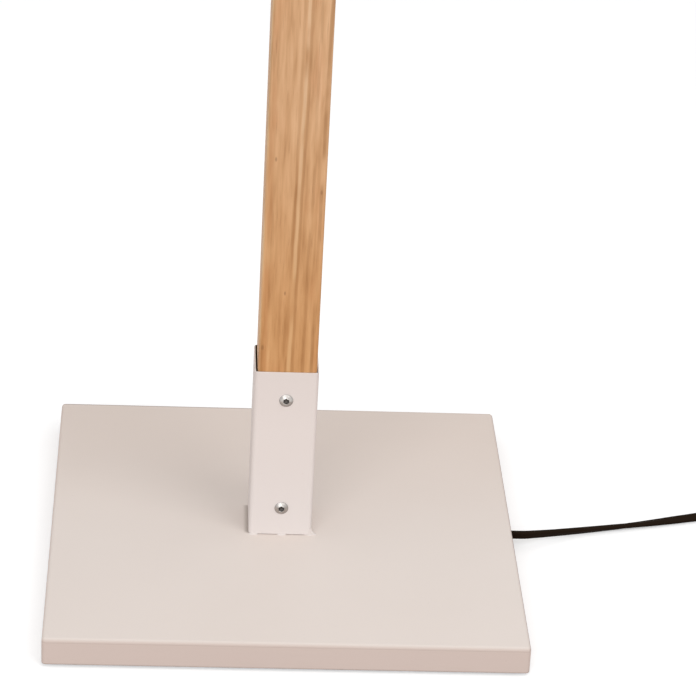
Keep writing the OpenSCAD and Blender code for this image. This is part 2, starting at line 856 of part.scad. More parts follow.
module cup_screw_places() {
    for (side = [0, 180])
        translate([head_x, 0, z_shade + 14]) rotate([0, 0, side])
            translate([0, -cup_d / 2, 0]) rotate([90, 0, 0]) children();
}

module cup_screws() {
    deep = cup_d / 2 - holder_d / 2 + 3;
    color(STEEL) cup_screw_places() {
        cylinder(d = cup_screw_head_d, h = cup_screw_head_h);
        translate([0, 0, -deep]) cylinder(d = cup_screw_d, h = deep);
    }
}

module cup_grommet() {
    color(BLACK) translate([grommet_x, 0, z_cup]) difference() {
        union() {
            cylinder(d = grommet_d + 2.4, h = grommet_rise);
            translate([0, 0, -cup_t - 2]) cylinder(d = grommet_d, h = cup_t + 2);
        }
        translate([0, 0, -cup_t - 3]) cylinder(d = grommet_bore, h = cup_t + grommet_rise + 4);
    }
}

module holder_lead() {
    low = z_shade + holder_high;
    way = [
        [grommet_x, 0, z_cup + grommet_rise],
        [grommet_x, 0, z_cup - 8],
        [grommet_x + 1.5, 0, z_cup - 14],
        [grommet_x + 2.5, 0, low + 5],
        [grommet_x + 2.5, 0, low]
    ];
    color(BLACK) flat_tube(way, same(way, 0), [0, 1, 0], 8);
}

module lampholder() {
    r = holder_d / 2;
    body = [
        [0, holder_high], [r - 2.5, holder_high], [r - 1, holder_high - 1.5],
        [r - 1, 5], [r + 1.5, 4], [r + 1.5, 0],
        [r, 0], [r, -holder_low], [holder_bore / 2, -holder_low], [holder_bore / 2, 1], [0, 1]
    ];
    color(BLACK) difference() {
        translate([head_x, 0, z_shade]) rotate_extrude() polygon(body);
        cup_screw_places() translate([0, 0, -cup_d / 2 + holder_d / 2 - 4])
            cylinder(d = cup_screw_d + fit, h = 8);
    }
}

module shade() {
    steps = 12;
    hole = holder_d / 2 + 0.4;
    outer = [for (i = [0:steps]) [shade_r(i / steps), -shade_t - (shade_h - shade_t) * i / steps]];
    inner = [for (i = [steps:-1:0]) outer[i] - [shade_side, 0]];
    top = shade_top_d / 2;
    profile = concat([[hole, 0], [top - shade_t, 0]], outer, inner, [[hole, -shade_t]]);
    color(WHITE) translate([head_x, 0, z_shade]) rotate_extrude($fn = 96) polygon(profile);
}

module shade_ring() {
    color(BLACK) translate([head_x, 0, z_shade - shade_t - ring_h]) difference() {
        cylinder(d = ring_d, h = ring_h);
        translate([0, 0, -over]) cylinder(d = holder_d, h = ring_h + 2 * over);
    }
}

module bulb_cap() {
    z = z_shade - holder_low - 1;
    color(STEEL) translate([head_x, 0, z]) {
        cylinder(d = bulb_cap_d, h = bulb_cap_h);
        translate([0, 0, bulb_cap_h - 0.1]) cylinder(d1 = 16, d2 = 9, h = 2.6);
    }
}

module bulb_globe() {
    r = bulb_d / 2;
    neck = bulb_cap_d / 2 + 0.6;
    a = asin(neck / r);
    from = 90 - a - 14;
    form = concat(
        [[neck - bulb_wall, 0], [neck, 0], [neck + bulb_wall, -8]],
        arc([0, -bulb_drop], r, from, -90, 20),
        arc([0, -bulb_drop], r - bulb_wall, -90, from, 20),
        [[neck, -8]]
    );
    color(OPAL) translate([head_x, 0, z_shade - holder_low - 1]) rotate_extrude() polygon(form);
}

module switch_body() {
    inside = cup_d / 2 - cup_t - 14;
    color(BLACK) translate([head_x, 0, switch_z]) rotate([0, 90, 0]) difference() {
        union() {
            translate([0, 0, inside]) cylinder(d = switch_body_d, h = 12);
            translate([0, 0, inside + 11]) cylinder(d = switch_neck_d, h = cup_d / 2 - inside - 11);
        }
        translate([0, 0, cup_d / 2 - button_in - press - 0.5]) cylinder(d = button_d + slide, h = 20);
    }
}

module switch_bezel() {
    color(STEEL) translate([head_x + cup_d / 2, 0, switch_z]) rotate([0, 90, 0]) difference() {
        cylinder(d = switch_bezel_d, h = switch_bezel_t);
        translate([0, 0, -over]) cylinder(d = button_d + slide, h = switch_bezel_t + 2 * over);
    }
}

module switch_button() {
    color(BLACK) translate([head_x + cup_d / 2 - button_in, 0, switch_z]) rotate([0, 90, 0])
        cylinder(d = button_d, h = button_in + button_out);
}

// Cord, coil, tie and plug
module power_cord() {
    straight = coil_path[0] - coil_t0 * 2 * cord_w;
    floor_points = concat([for (p = ROUTE) [cord_x + p[0], gland_y + p[1], p[2]]], [straight]);
    last = len(ROUTE) - 1;
    way = concat(
        [[cord_x, gland_y, gland_z]],
        through(floor_points, 3),
        [coil_path[0]]
    );
    turn = concat(
        [ROLLS[0]],
        [
            for (i = [0:last - 1])
                for (j = [0:2])
                    ROLLS[i] + (ROLLS[i + 1] - ROLLS[i]) * j / 3
        ],
        same([0, 1, 2, 3, 4], ROLLS[last])
    );
    color(BLACK) flat_tube(way, turn, [0, 0, 1], 8);
}

module cord_coil() {
    color(BLACK) flat_tube(coil_path, same(coil_path, 0), [0, 0, 1], 6);
}

module cord_tail() {
    from = coil_path[len(coil_path) - 1];
    axis = plug_h / 2;
    drop = from[2] - axis;
    way = [
        from,
        from + [cord_w, 0, 0],
        [tail_x - 54, tail_y, axis + 0.86 * drop],
        [tail_x - 36, tail_y, axis + 0.5 * drop],
        [tail_x - 20, tail_y, axis + 0.14 * drop],
        [tail_x - 8, tail_y, axis],
        [tail_x, tail_y, axis]
    ];
    color(BLACK) flat_tube(way, same(way, 0), [0, 0, 1], 8);
}

module cord_tie() {
    deep = coil_out - coil_in + cord_t + 2.6;
    tall = coil_lift + cord_w + 2 * tie_t + 0.6;
    middle = [coil_c[0], coil_c[1] + coil_r];
    color(BLACK) translate([middle[0], middle[1], tall / 2]) rotate([90, 0, 90])
        linear_extrude(7, center = true) difference() {
            polygon(round_rect(deep + 2 * tie_t, tall, 2.2));
            polygon(round_rect(deep, tall - 2 * tie_t, 1.2));
        }
}

module plug_body() {
    half = plug_w / 2;
    form = [
        [0, -7], [5, -8], [14, -half], [plug_len, -half], [plug_len, half], [14, half], [5, 8], [0, 7]
    ];
    color(BLACK) translate([tail_x, tail_y, 0]) difference() {
        linear_extrude(plug_h) polygon(form);
        for (y = [-pin_gap / 2, pin_gap / 2])
            translate([plug_len - 8, y, plug_h / 2]) rotate([0, 90, 0]) cylinder(d = pin_d, h = 8 + over);
    }
}

module plug_pins() {
    color(BRASS) translate([tail_x + plug_len - 8, tail_y, plug_h / 2])
        for (y = [-pin_gap / 2, pin_gap / 2])
            translate([0, y, 0]) rotate([0, 90, 0]) cylinder(d = pin_d, h = 8 + pin_len);
}

base_pad();
bottom_cover();
cover_screws();
ballast_block();
base_shell();
cord_gland();
post_socket();
socket_welds();
socket_screws();
post();
post_strip();
post_lead();
post_cap();
cap_screws();
swivel_stem();
stem_nut();
swivel_pad();
swivel_washer();
yoke();
hinge_bolt();
knob_washer();
hinge_lead();
hinge_knob();
arm();
arm_bushes();
arm_strip();
arm_lead();
arm_fork();
fork_screws();
head_bolt();
head_knob_washer();
head_lead();
head_knob();
head_lug();
head_washers();
holder_cup();
cup_grommet();
cup_screws();
holder_lead();
lampholder();
shade();
shade_ring();
bulb_cap();
bulb_globe();
switch_body();
switch_bezel();
switch_button();
power_cord();
cord_coil();
cord_tail();
cord_tie();
plug_body();
plug_pins();
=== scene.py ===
import math

import bmesh
import bpy
from mathutils import Matrix, Vector


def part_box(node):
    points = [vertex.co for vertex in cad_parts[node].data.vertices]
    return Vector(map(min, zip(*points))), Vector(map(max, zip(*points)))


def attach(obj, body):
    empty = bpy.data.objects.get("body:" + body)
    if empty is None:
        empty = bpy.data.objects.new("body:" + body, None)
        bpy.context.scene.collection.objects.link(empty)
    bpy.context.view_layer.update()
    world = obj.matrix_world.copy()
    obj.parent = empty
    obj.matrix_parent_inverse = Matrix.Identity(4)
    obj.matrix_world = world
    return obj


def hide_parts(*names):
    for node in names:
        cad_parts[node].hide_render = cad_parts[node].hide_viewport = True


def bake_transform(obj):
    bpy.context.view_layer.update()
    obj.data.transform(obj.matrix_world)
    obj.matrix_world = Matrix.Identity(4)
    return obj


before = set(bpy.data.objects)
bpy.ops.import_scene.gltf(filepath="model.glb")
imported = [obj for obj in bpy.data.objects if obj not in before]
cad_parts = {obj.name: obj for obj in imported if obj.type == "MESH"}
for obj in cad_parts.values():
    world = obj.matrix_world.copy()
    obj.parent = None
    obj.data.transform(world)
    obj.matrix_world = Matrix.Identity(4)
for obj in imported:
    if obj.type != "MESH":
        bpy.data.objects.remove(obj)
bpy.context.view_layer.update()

scene = bpy.context.scene
scene.view_settings.view_transform = "Standard"

# Outlines and profiles are in millimetres and are scaled once, when a mesh is placed. Places are in metres.
MM = 0.001
# Steps round a turned piece and round a quarter of a circle
ROUND = 72
CORNER = 8
RIGHT = Vector((1, 0, 0))
FRONT = Vector((0, -1, 0))
BACK = Vector((0, 1, 0))
UP = Vector((0, 0, 1))
TURNS = {
    "up": Matrix.Identity(4),
    "down": Matrix.Rotation(math.pi, 4, "X"),
    "front": Matrix.Rotation(math.pi / 2, 4, "X"),
    "back": Matrix.Rotation(-math.pi / 2, 4, "X"),
    "right": Matrix.Rotation(math.pi / 2, 4, "Y"),
}

# Camera: the photograph's frame is square, and the lens is given as pixels of it.
FRAME_PIXELS = 696
FOCAL_PIXELS = 3082.8
SENSOR_MM = 36.0
CAMERA_AT = Vector((-0.0750, -1.7310, 1.0539))
CAMERA_PITCH = math.radians(27.578)
CAMERA_YAW = math.radians(3.751)
CAMERA_ROLL = math.radians(-3.184)

# Sheet steel and timber
TRAY_SHEET = 1.5
SOCKET_SHEET = 1.0
TRAY_FOLD = 2.5
SOCKET_FOLD = 2.6
CAP_TOP = 2.0
FOOT_GAP = 0.35
TIMBER_ROUND = 1.6
GROOVE_W = 8.0
GROOVE_D = 10.0

# Button-head screws in the timber, and the bores of what sits on the stem and on the clamp bolts, as radii
SCREW_HEAD = 8.8
SCREW_TALL = 1.9
SCREW_KEY = 3.0
SCREW_SHANK = 4.5
STEM_BORE = 7.1
BOLT_BORE = 4.05

# Flat twin flex, in metres
CORD_W = 0.0058
CORD_T = 0.0034


class Wire:
    """An output socket of a node tree. Sums and products of wires and numbers add the Math nodes for them."""

    def __init__(self, tree, socket=None):
        self.tree = tree
        self.socket = socket

    def feed(self, socket, value):
        if isinstance(value, Wire):
            self.tree.links.new(value.socket, socket)
        else:
            socket.default_value = value

    def node(self, kind, settings=None, sockets=None, out=0):
        made = self.tree.nodes.new(kind)
        for key, value in (settings or {}).items():
            if key == "stops":
                set_stops(made.color_ramp, value)
            else:
                setattr(made, key, value)
        for key, value in (sockets or {}).items():
            self.feed(made.inputs[key], value)
        return Wire(self.tree, made.outputs[out])

    def math(self, operation, first, second=0.0):
        return self.node("ShaderNodeMath", {"operation": operation}, {0: first, 1: second})

    def __add__(self, other):
        return self.math("ADD", self, other)

    def __sub__(self, other):
        return self.math("SUBTRACT", self, other)

    def __rsub__(self, other):
        return self.math("SUBTRACT", other, self)

    def __mul__(self, other):
        return self.math("MULTIPLY", self, other)

    def __truediv__(self, other):
        return self.math("DIVIDE", self, other)

    __radd__ = __add__
    __rmul__ = __mul__


def set_stops(ramp, stops):
    while len(ramp.elements) < len(stops):
        ramp.elements.new(1.0)
    for element, (position, colour) in zip(ramp.elements, stops):
        element.position = position
        element.color = (*colour, 1.0)


# Patterns

def noise(place, scale, detail=2.0, rough=0.5, distortion=0.0):
    sockets = {"Vector": place, "Scale": scale, "Detail": detail, "Roughness": rough}
    return place.node("ShaderNodeTexNoise", None, {**sockets, "Distortion": distortion})


def mapped(place, scale=(1, 1, 1), turn=(0, 0, 0), shift=(0, 0, 0)):
    sockets = {"Vector": place, "Scale": scale, "Rotation": turn, "Location": shift}
    return place.node("ShaderNodeMapping", None, sockets)


def rise(value, low, high):
    """0 below the low value and 1 above the high one."""
    settings = {"interpolation_type": "SMOOTHSTEP"}
    return value.node("ShaderNodeMapRange", settings, {"Value": value, "From Min": low, "From Max": high})


def mixed(factor, first, second, blend="MIX"):
    settings = {"data_type": "RGBA", "blend_type": blend}
    first = first if isinstance(first, Wire) else (*first, 1.0)
    second = second if isinstance(second, Wire) else (*second, 1.0)
    return factor.node("ShaderNodeMix", settings, {0: factor, 6: first, 7: second}, out=2)


def darkened(factor, tone, tint_colour):
    return mixed(factor, tone, tint_colour, "MULTIPLY")


def bump(height, distance, strength=1.0):
    return height.node("ShaderNodeBump", None, {"Height": height, "Distance": distance, "Strength": strength})


def part_of(place, axis):
    return place.node("ShaderNodeSeparateXYZ", None, {0: place}, out=axis)


def near(place, spot, radius, tall):
    """1 at a spot, falling to 0 at the radius, which is so many times larger along Z."""
    x, y, z = spot
    drawn_in = mapped(place, scale=(1, 1, 1 / tall))
    sockets = {0: drawn_in, 1: (x, y, z / tall)}
    gap = place.node("ShaderNodeVectorMath", {"operation": "DISTANCE"}, sockets, out="Value")
    return 1 - rise(gap, 0.25 * radius, radius)


def drawn_out(wood, share, scale, detail=2.0, rough=0.5, distortion=0.0, shift=(0, 0, 0)):
    """Noise with only this share of its scale along the grain."""
    return noise(mapped(wood, scale=(1, 1, share), shift=shift), scale, detail, rough, distortion)


# Finishes

def finish(name):
    """A new material and the wire of its Object coordinates."""
    material = bpy.data.materials.new(name)
    material.use_nodes = True
    return material, Wire(material.node_tree).node("ShaderNodeTexCoord", out="Object")


def shaded(material, **sockets):
    """The material with these wires and plain values on its shader's sockets."""
    tree = material.node_tree
    inputs = tree.nodes["Principled BSDF"].inputs
    for key, value in sockets.items():
        Wire(tree).feed(inputs[key.replace("_", " ").title().replace("Ior", "IOR")], value)
    return material


def powder_coat(name, deep, pale, dust_and_shade, marks=None):
    """White paint with a fine peel, darker below a stretch of height as painted shade, and with a piece's own
    painted shade.
    """
    material, place = finish(name)
    cloud = noise(place, 9.0, 3.0)
    peel = noise(place, 900.0)
    grit = noise(place, 3200.0, 1.0)
    fleck = rise(noise(place, 420.0), 0.70, 0.78)
    tone = mixed(cloud, deep, pale)
    tone = mixed(fleck * 0.10, tone, (0.52, 0.45, 0.40))
    # Painted shade: the paint darkens below a stretch of height.
    low, high, tint_colour = dust_and_shade
    tone = darkened(1 - rise(part_of(place, "Z"), low, high), tone, tint_colour)
    if marks:
        tone = marks(place, tone)
    return shaded(
        material,
        specular_ior_level=0.25,
        base_color=tone,
        roughness=0.40 + peel * 0.14 + cloud * 0.06,
        normal=bump(peel * 0.75 + grit * 0.25, 0.00005, 0.6),
    )


def tray_painted_shade(place, tone):
    """Painted shade on the tray: darker to the back, a dark line at its hem, a contact shadow left of the
    socket, and darker front, right and back folds.
    """
    across, back, height = [part_of(place, axis) for axis in "XYZ"]
    low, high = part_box("post_socket")
    near_edge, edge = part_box("base_shell")
    # Painted shade: a dark line along the foot of the skirt, where it meets the floor.
    tone = darkened(1 - rise(height, 0.0022, 0.0030), tone, (0.60, 0.56, 0.53))
    # Painted shade: darker towards the back.
    tone = darkened(rise(back, -0.06, 0.14), tone, (0.965, 0.930, 0.905))
    # Painted shadow: a contact shadow on the deck along the socket's left wall.
    beside = rise(across, low.x - 0.0038, low.x - 0.0002) * (1 - rise(across, low.x, low.x + 0.001))
    along = rise(back, low.y + 0.0005, low.y + 0.003) * (1 - rise(back, high.y - 0.002, high.y))
    tone = darkened(beside * along, tone, (0.62, 0.60, 0.58))
    # Painted shade: the front fold is darkened against the light that falls on it.
    front_fold = 1 - rise(back, near_edge.y + 0.0004, near_edge.y + 0.0022)
    front_fold = front_fold * rise(height, edge.z - 0.0030, edge.z - 0.0022)
    tone = darkened(front_fold, tone, (0.88, 0.87, 0.86))
    # Painted shade: a dark line along the right and back folds.
    right_fold = rise(across, edge.x - 0.0008, edge.x - 0.0004) * 0.8
    back_fold = rise(back, edge.y - 0.0032, edge.y - 0.0020) * (1 - rise(across, -0.03, 0.08) * 0.7)
    painted_fold_shade = place.math("MAXIMUM", right_fold, back_fold) * rise(height, edge.z - 0.0024, edge.z - 0.0018)
    return darkened(painted_fold_shade, tone, (0.48, 0.44, 0.43))


def socket_inside_shade(place, tone):
    """Painted shade: the socket is near black inside, standing in for the deep shade in the gap round the
    post.
    """
    low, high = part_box("post_socket")
    shade_begins, shade_full = 0.0008, 0.00095
    inside = []
    for axis, first, last in (("X", low.x, high.x), ("Y", low.y, high.y)):
        along = part_of(place, axis)
        inside.append(rise(along, first + shade_begins, first + shade_full))
        inside.append(1 - rise(along, last - shade_full, last - shade_begins))
    return mixed(inside[0] * inside[1] * inside[2] * inside[3], tone, (0.045, 0.036, 0.030))


def grain_line(place, at, lean, half, seed):
    """1 along a line on the post's front, which leans to the right as it rises and comes and goes. Most are
    growth lines; one is a painted highlight on the rounded left edge.
    """
    across, depth, height = [part_of(place, axis) for axis in "XYZ"]
    wander = noise(mapped(place, scale=(0, 0, 1), shift=(seed, 0, 0)), 16.0)
    broken = noise(mapped(place, scale=(0, 0, 1), shift=(0, seed, 0)), 24.0)
    gap = place.math("ABSOLUTE", across - at - height * lean + (wander - 0.5) * 0.003)
    faced = 1 - rise(depth, POST_FRONT + 0.0015, POST_FRONT + 0.004)
    return (1 - rise(gap, 0.3 * half, half)) * rise(broken, 0.33, 0.54) * faced


def post_marks(place, tone):
    """The post's lines and knots. It is darker and yellower towards its foot, but not on its rounded left
    edge, which is kept paler as painted light.
    """
    for i, (at, lean, half, share, colour) in enumerate(POST_LINES):
        tone = mixed(grain_line(place, at, lean, half, 5.3 * i + 2) * share, tone, colour)
    foot = 1 - rise(part_of(place, "Z"), 0.14, 0.36)
    # Painted light: the rounded left edge is left out, so it stays paler.
    yellower_foot = foot * rise(part_of(place, "X"), POST_LEFT + 0.00005, POST_LEFT + 0.00155)
    tone = darkened(yellower_foot, tone, (0.915, 0.80, 0.63))
    for x, z, radius in POST_KNOTS:
        knot = near(place, (x, POST_FRONT, z), radius, tall=2.2)
        tone = mixed(knot * 0.45, tone, (0.22, 0.100, 0.042))
    return tone


def timber(name, turn, shift, marks=None):
    """Straight-grained pale timber with its grain along the texture's Z."""
    material, place = finish(name)
    wood = mapped(place, turn=turn, shift=shift)
    drift = drawn_out(wood, 0.12, 22.0)
    band = drawn_out(wood, 0.025, 125.0, 2.0, 0.6, 0.5)
    streak = drawn_out(wood, 0.045, 330.0, 3.0, 0.6)
    blotch = drawn_out(wood, 0.35, 75.0)
    figure = drawn_out(wood, 0.10, 290.0, 2.0, 0.55, shift=(0.7, 0.2, 0))
    fibre = drawn_out(wood, 0.02, 1400.0, 2.0, 0.6)
    pore = rise(drawn_out(wood, 0.03, 2100.0, 1.0), 0.63, 0.72)
    ruddy = rise(drawn_out(wood, 0.30, 85.0, shift=(3, 1, 2)), 0.50, 0.78)
    tint = drift * 0.40 + band * 0.55 + streak * 0.50 + blotch * 0.25 + figure * 0.50 - 0.60
    tones = [
        (0.20, (0.480, 0.256, 0.118)),
        (0.40, (0.680, 0.408, 0.216)),
        (0.58, (0.795, 0.507, 0.290)),
        (0.80, (0.890, 0.630, 0.398)),
    ]
    tone = place.node("ShaderNodeValToRGB", {"stops": tones}, {"Fac": tint})
    tone = darkened(ruddy * 0.8, tone, (0.985, 0.90, 0.88))
    tone = mixed(fibre * 0.16, tone, (0.52, 0.270, 0.120))
    tone = mixed(pore * 0.24, tone, (0.34, 0.165, 0.072))
    if marks:
        tone = marks(place, tone)
    return shaded(
        material,
        specular_ior_level=0.22,
        base_color=tone,
        roughness=0.46 + fibre * 0.16 + pore * 0.10,
        normal=bump(fibre * 0.5 + streak * 0.3 - pore * 0.5, 0.00008, 0.55),
    )


def metal(name, bright, dark, rough, wave):
    """Bare metal with fine tool marks, a little dulled in patches, and dark where a point is marked with
    painted shade.
    """
    material, place = finish(name)
    patch = noise(place, wave, 3.0)
    mark = noise(place, wave * 14)
    grime = place.node("ShaderNodeAttribute", {"attribute_name": "grime"}, out="Fac")
    tone = mixed(rise(patch, 0.3, 0.75), bright, dark)
    return shaded(
        material,
        metallic=1.0,
        base_color=mixed(grime * 0.85, tone, (0.040, 0.034, 0.030)),
        roughness=rough + patch * 0.10 + mark * 0.06 + grime * 0.2,
        normal=bump(mark, 0.00001, 0.25),
    )


def galvanised():
    material, place = finish("galvanised_sheet")
    spangle = place.node("ShaderNodeTexVoronoi", None, {"Vector": place, "Scale": 160.0}, out="Color")
    value = place.node("ShaderNodeSeparateColor", None, {0: spangle}, out=0)
    tone = mixed(value, (0.42, 0.43, 0.44), (0.60, 0.61, 0.62))
    return shaded(material, metallic=0.9, base_color=tone, roughness=0.34 + value * 0.2)


def cast_iron():
    material, place = finish("cast_iron")
    lump = noise(place, 380.0, 4.0, 0.6)
    rust = rise(noise(place, 40.0, 3.0), 0.55, 0.75)
    tone = mixed(rust * 0.4, (0.055, 0.053, 0.052), (0.12, 0.065, 0.04))
    return shaded(material, metallic=0.4, roughness=0.8, base_color=tone, normal=bump(lump, 0.0003, 0.7))


def foam():
    material, place = finish("cell_rubber")
    cell = place.node("ShaderNodeTexVoronoi", None, {"Vector": place, "Scale": 900.0}, out="Distance")
    tone = mixed(cell, (0.012, 0.012, 0.012), (0.045, 0.043, 0.041))
    return shaded(material, roughness=0.95, base_color=tone, normal=bump(cell, 0.0003, 0.8))


def moulded(name, dark, light, rough, grain=1500.0):
    """Moulded plastic with a fine spark-eroded grain."""
    material, place = finish(name)
    grit = noise(place, grain, 2.0, 0.6)
    tone = mixed(noise(place, 35.0) * 0.6 + grit * 0.4, dark, light)
    return shaded(material, base_color=tone, roughness=rough + grit * 0.12, normal=bump(grit, 0.00005, 0.5))


def flex_sheath():
    material, place = finish("flex_sheath")
    grit = noise(place, 1300.0, 2.0, 0.6)
    dust_and_shade = rise(noise(place, 60.0, 3.0), 0.45, 0.8)
    tone = mixed(grit, (0.0115, 0.0066, 0.0038), (0.020, 0.0115, 0.0068))
    return shaded(
        material,
        specular_ior_level=0.03,
        base_color=mixed(dust_and_shade * 0.14, tone, (0.045, 0.031, 0.021)),
        roughness=0.50 + grit * 0.16,
        normal=bump(grit, 0.00004, 0.5),
    )


def opal_glass():
    material, place = finish("opal_glass")
    cloud = noise(place, 45.0)
    return shaded(
        material,
        subsurface_weight=0.25,
        subsurface_scale=0.004,
        base_color=mixed(cloud, (0.80, 0.78, 0.73), (0.86, 0.845, 0.80)),
        roughness=0.16 + cloud * 0.06,
    )


# White paint: its deeper and paler tone, and its painted shade as the heights between which it fades and its
# tint.
# The whites below are lit and shaded copies of one paint, made lighter or darker as painted light and shade.
# Painted shade below 19 mm
LOW_SHADE = (0.001, 0.019, (0.915, 0.850, 0.835))
# Painted shade: the tray's skirt and lower fold are darker.
TRAY_SKIRT_SHADE = (0.0185, 0.0199, (0.955, 0.912, 0.900))
# Painted shade: the socket darkens towards its foot.
SOCKET_FOOT_SHADE = (0.020, 0.110, (0.920, 0.925, 0.935))
# Painted shade: the plain white is darker than the tray's, against the stronger light higher up, on the cap,
# arm and head.
WHITE = powder_coat("white_powder_coat", (0.680, 0.607, 0.562), (0.722, 0.652, 0.608), LOW_SHADE)
# Painted shade: the weld beads' copy is darker, against the light on their tops.
WELD_WHITE = powder_coat("weld_powder_coat", (0.690, 0.626, 0.592), (0.735, 0.675, 0.643), LOW_SHADE)
TRAY_TONES = ((0.745, 0.662, 0.610), (0.790, 0.711, 0.660))
TRAY_WHITE = powder_coat("tray_powder_coat", *TRAY_TONES, TRAY_SKIRT_SHADE, tray_painted_shade)
# Painted light: the socket's copy is lighter and cooler than the tray's, for the light on its front.
SOCKET_TONES = ((0.778, 0.709, 0.674), (0.824, 0.761, 0.730))
SOCKET_WHITE = powder_coat("socket_powder_coat", *SOCKET_TONES, SOCKET_FOOT_SHADE, socket_inside_shade)

POST_LEFT, POST_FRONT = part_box("post")[0].xy
# Lines on the post: distance right of its middle at the floor, lean, half width, strength and colour. Most
# are growth lines; the dark one at -0.0156 is a darker band near the left edge, and the pale last one is a
# painted highlight on the rounded left edge.
LATE_WOOD = (0.40, 0.205, 0.088)
EARLY_WOOD = (0.86, 0.610, 0.380)
POST_LINES = [
    (-0.0011, 0.0125, 0.0016, 0.62, EARLY_WOOD),
    (0.0010, 0.0125, 0.0013, 0.42, LATE_WOOD),
    (-0.0034, 0.0125, 0.0012, 0.30, LATE_WOOD),
    (0.0141, 0.0073, 0.0016, 0.65, LATE_WOOD),
    (0.0085, 0.0073, 0.0013, 0.35, LATE_WOOD),
    (-0.0156, 0.0010, 0.0022, 0.45, (0.60, 0.310, 0.145)),
    # Painted highlight on the rounded left edge
    (-0.0190, 0.0000, 0.0016, 0.60, (0.86, 0.640, 0.380)),
]
# Small knots and flecks on the post's front: distance right of its middle, height and radius
POST_KNOTS = [
    (-0.0164, 0.1558, 0.0012),
    (-0.0128, 0.2852, 0.0010),
    (-0.0038, 0.1942, 0.0009),
    (0.0159, 0.2638, 0.0010),
]
POST_WOOD = timber("post_timber", (0, 0, 0), (0.13, 0.085, 0), post_marks)
ARM_WOOD = timber("arm_timber", (0, -math.pi / 2, 0), (1.54, -0.09, 0.37))
STEEL = metal("screw_steel", (0.52, 0.49, 0.465), (0.36, 0.335, 0.315), rough=0.28, wave=260.0)
BRASS = metal("pin_brass", (0.78, 0.60, 0.30), (0.60, 0.44, 0.20), rough=0.22, wave=220.0)
ALUMINIUM = metal("bulb_aluminium", (0.72, 0.72, 0.72), (0.55, 0.55, 0.56), rough=0.24, wave=240.0)
BLACK = moulded("black_plastic", (0.014, 0.013, 0.013), (0.028, 0.027, 0.026), rough=0.38)
NYLON = moulded("nylon", (0.70, 0.68, 0.62), (0.78, 0.76, 0.71), rough=0.42, grain=700.0)
SHEATH = flex_sheath()
OPAL = opal_glass()
SLOTS = {paint: "white_paint" for paint in (WHITE, TRAY_WHITE, SOCKET_WHITE, WELD_WHITE)}
SLOTS.update({
    POST_WOOD: "timber",
    ARM_WOOD: "timber",
    STEEL: "screw_steel",
    SHEATH: "cord_sheath",
    BLACK: "black_plastic",
    NYLON: "nylon",
    BRASS: "pin_brass",
    ALUMINIUM: "bulb_metal",
    OPAL: "opal_globe",
})


# Meshes

def added(name, data):
    """A new object in the scene."""
    made = bpy.data.objects.new(name, data)
    scene.collection.objects.link(made)
    return made


def evaluated(holder):
    """The plain mesh of an object after its modifiers. The object goes."""
    graph = bpy.context.evaluated_depsgraph_get()
    made = bpy.data.meshes.new_from_object(holder.evaluated_get(graph))
    bpy.data.objects.remove(holder)
    return made


def kept(bm):
    mesh = bpy.data.meshes.new("mesh")
    bm.to_mesh(mesh)
    bm.free()
    return mesh


def worked(mesh, *modifiers):
    """The mesh after these modifiers, each given as its type and its settings."""
    holder = added("work", mesh)
    for kind, settings in modifiers:
        modifier = holder.modifiers.new(kind.lower(), kind)
        for key, value in settings.items():
            setattr(modifier, key, value)
    return evaluated(holder)


def smoothed(mesh, angle=32):
    mesh.shade_smooth()
    mesh.set_sharp_from_angle(angle=math.radians(angle))
    return worked(mesh, ("WEIGHTED_NORMAL", {"keep_sharp": True, "weight": 60}))


def meshed(bm, at=(0, 0, 0), towards="up"):
    """A mesh from millimetres, turned from up to its direction and moved to its place."""
    bmesh.ops.remove_doubles(bm, verts=bm.verts, dist=0.0005)
    bmesh.ops.recalc_face_normals(bm, faces=bm.faces)
    bm.transform(Matrix.Translation(at) @ TURNS[towards] @ Matrix.Scale(MM, 4))
    return kept(bm)


def skinned(loops, closed=False):
    """Equal loops of points joined one to the next: a ring if closed, otherwise with a face on each end."""
    bm = bmesh.new()
    rings = [[bm.verts.new(point) for point in loop] for loop in loops]
    following = rings[1:] + rings[:1] if closed else rings[1:]
    for low, high in zip(rings, following):
        for i in range(len(low)):
            j = (i + 1) % len(low)
            bm.faces.new((low[i], low[j], high[j], high[i]))
    if not closed:
        bm.faces.new(rings[0])
        bm.faces.new(rings[-1])
    return bm


def stacked(loops, closed=False, at=(0, 0, 0), towards="up"):
    return smoothed(meshed(skinned(loops, closed), at, towards))


def polar(radius, height, count=ROUND):
    """A loop whose radius is a number or a rule of the angle."""
    rule = radius if callable(radius) else lambda angle: radius
    angles = [math.tau * i / count for i in range(count)]
    return [(rule(a) * math.cos(a), rule(a) * math.sin(a), height) for a in angles]


def hexagon(flats):
    sixth = math.pi / 3
    return lambda angle: flats / 2 / math.cos(angle % sixth - sixth / 2)


def lobed(radius, dip, count=6):
    return lambda angle: radius - dip + dip * math.cos(count * angle)


def elbow(radius, count=CORNER):
    """A quarter of a circle about (radius, radius), from (radius, 0) to (0, radius)."""
    angles = [math.pi / 2 * i / count for i in range(count + 1)]
    return [(radius * (1 - math.sin(a)), radius * (1 - math.cos(a))) for a in angles]


def oblong(width, depth, corner, height=0.0):
    """A rectangle with round corners."""
    points = []
    for quarter, (sx, sy) in enumerate(((1, 1), (-1, 1), (-1, -1), (1, -1))):
        for i in range(CORNER + 1):
            angle = (quarter + i / CORNER) * math.pi / 2
            x = sx * (width / 2 - corner) + corner * math.cos(angle)
            y = sy * (depth / 2 - corner) + corner * math.sin(angle)
            points.append((x, y, height))
    return points


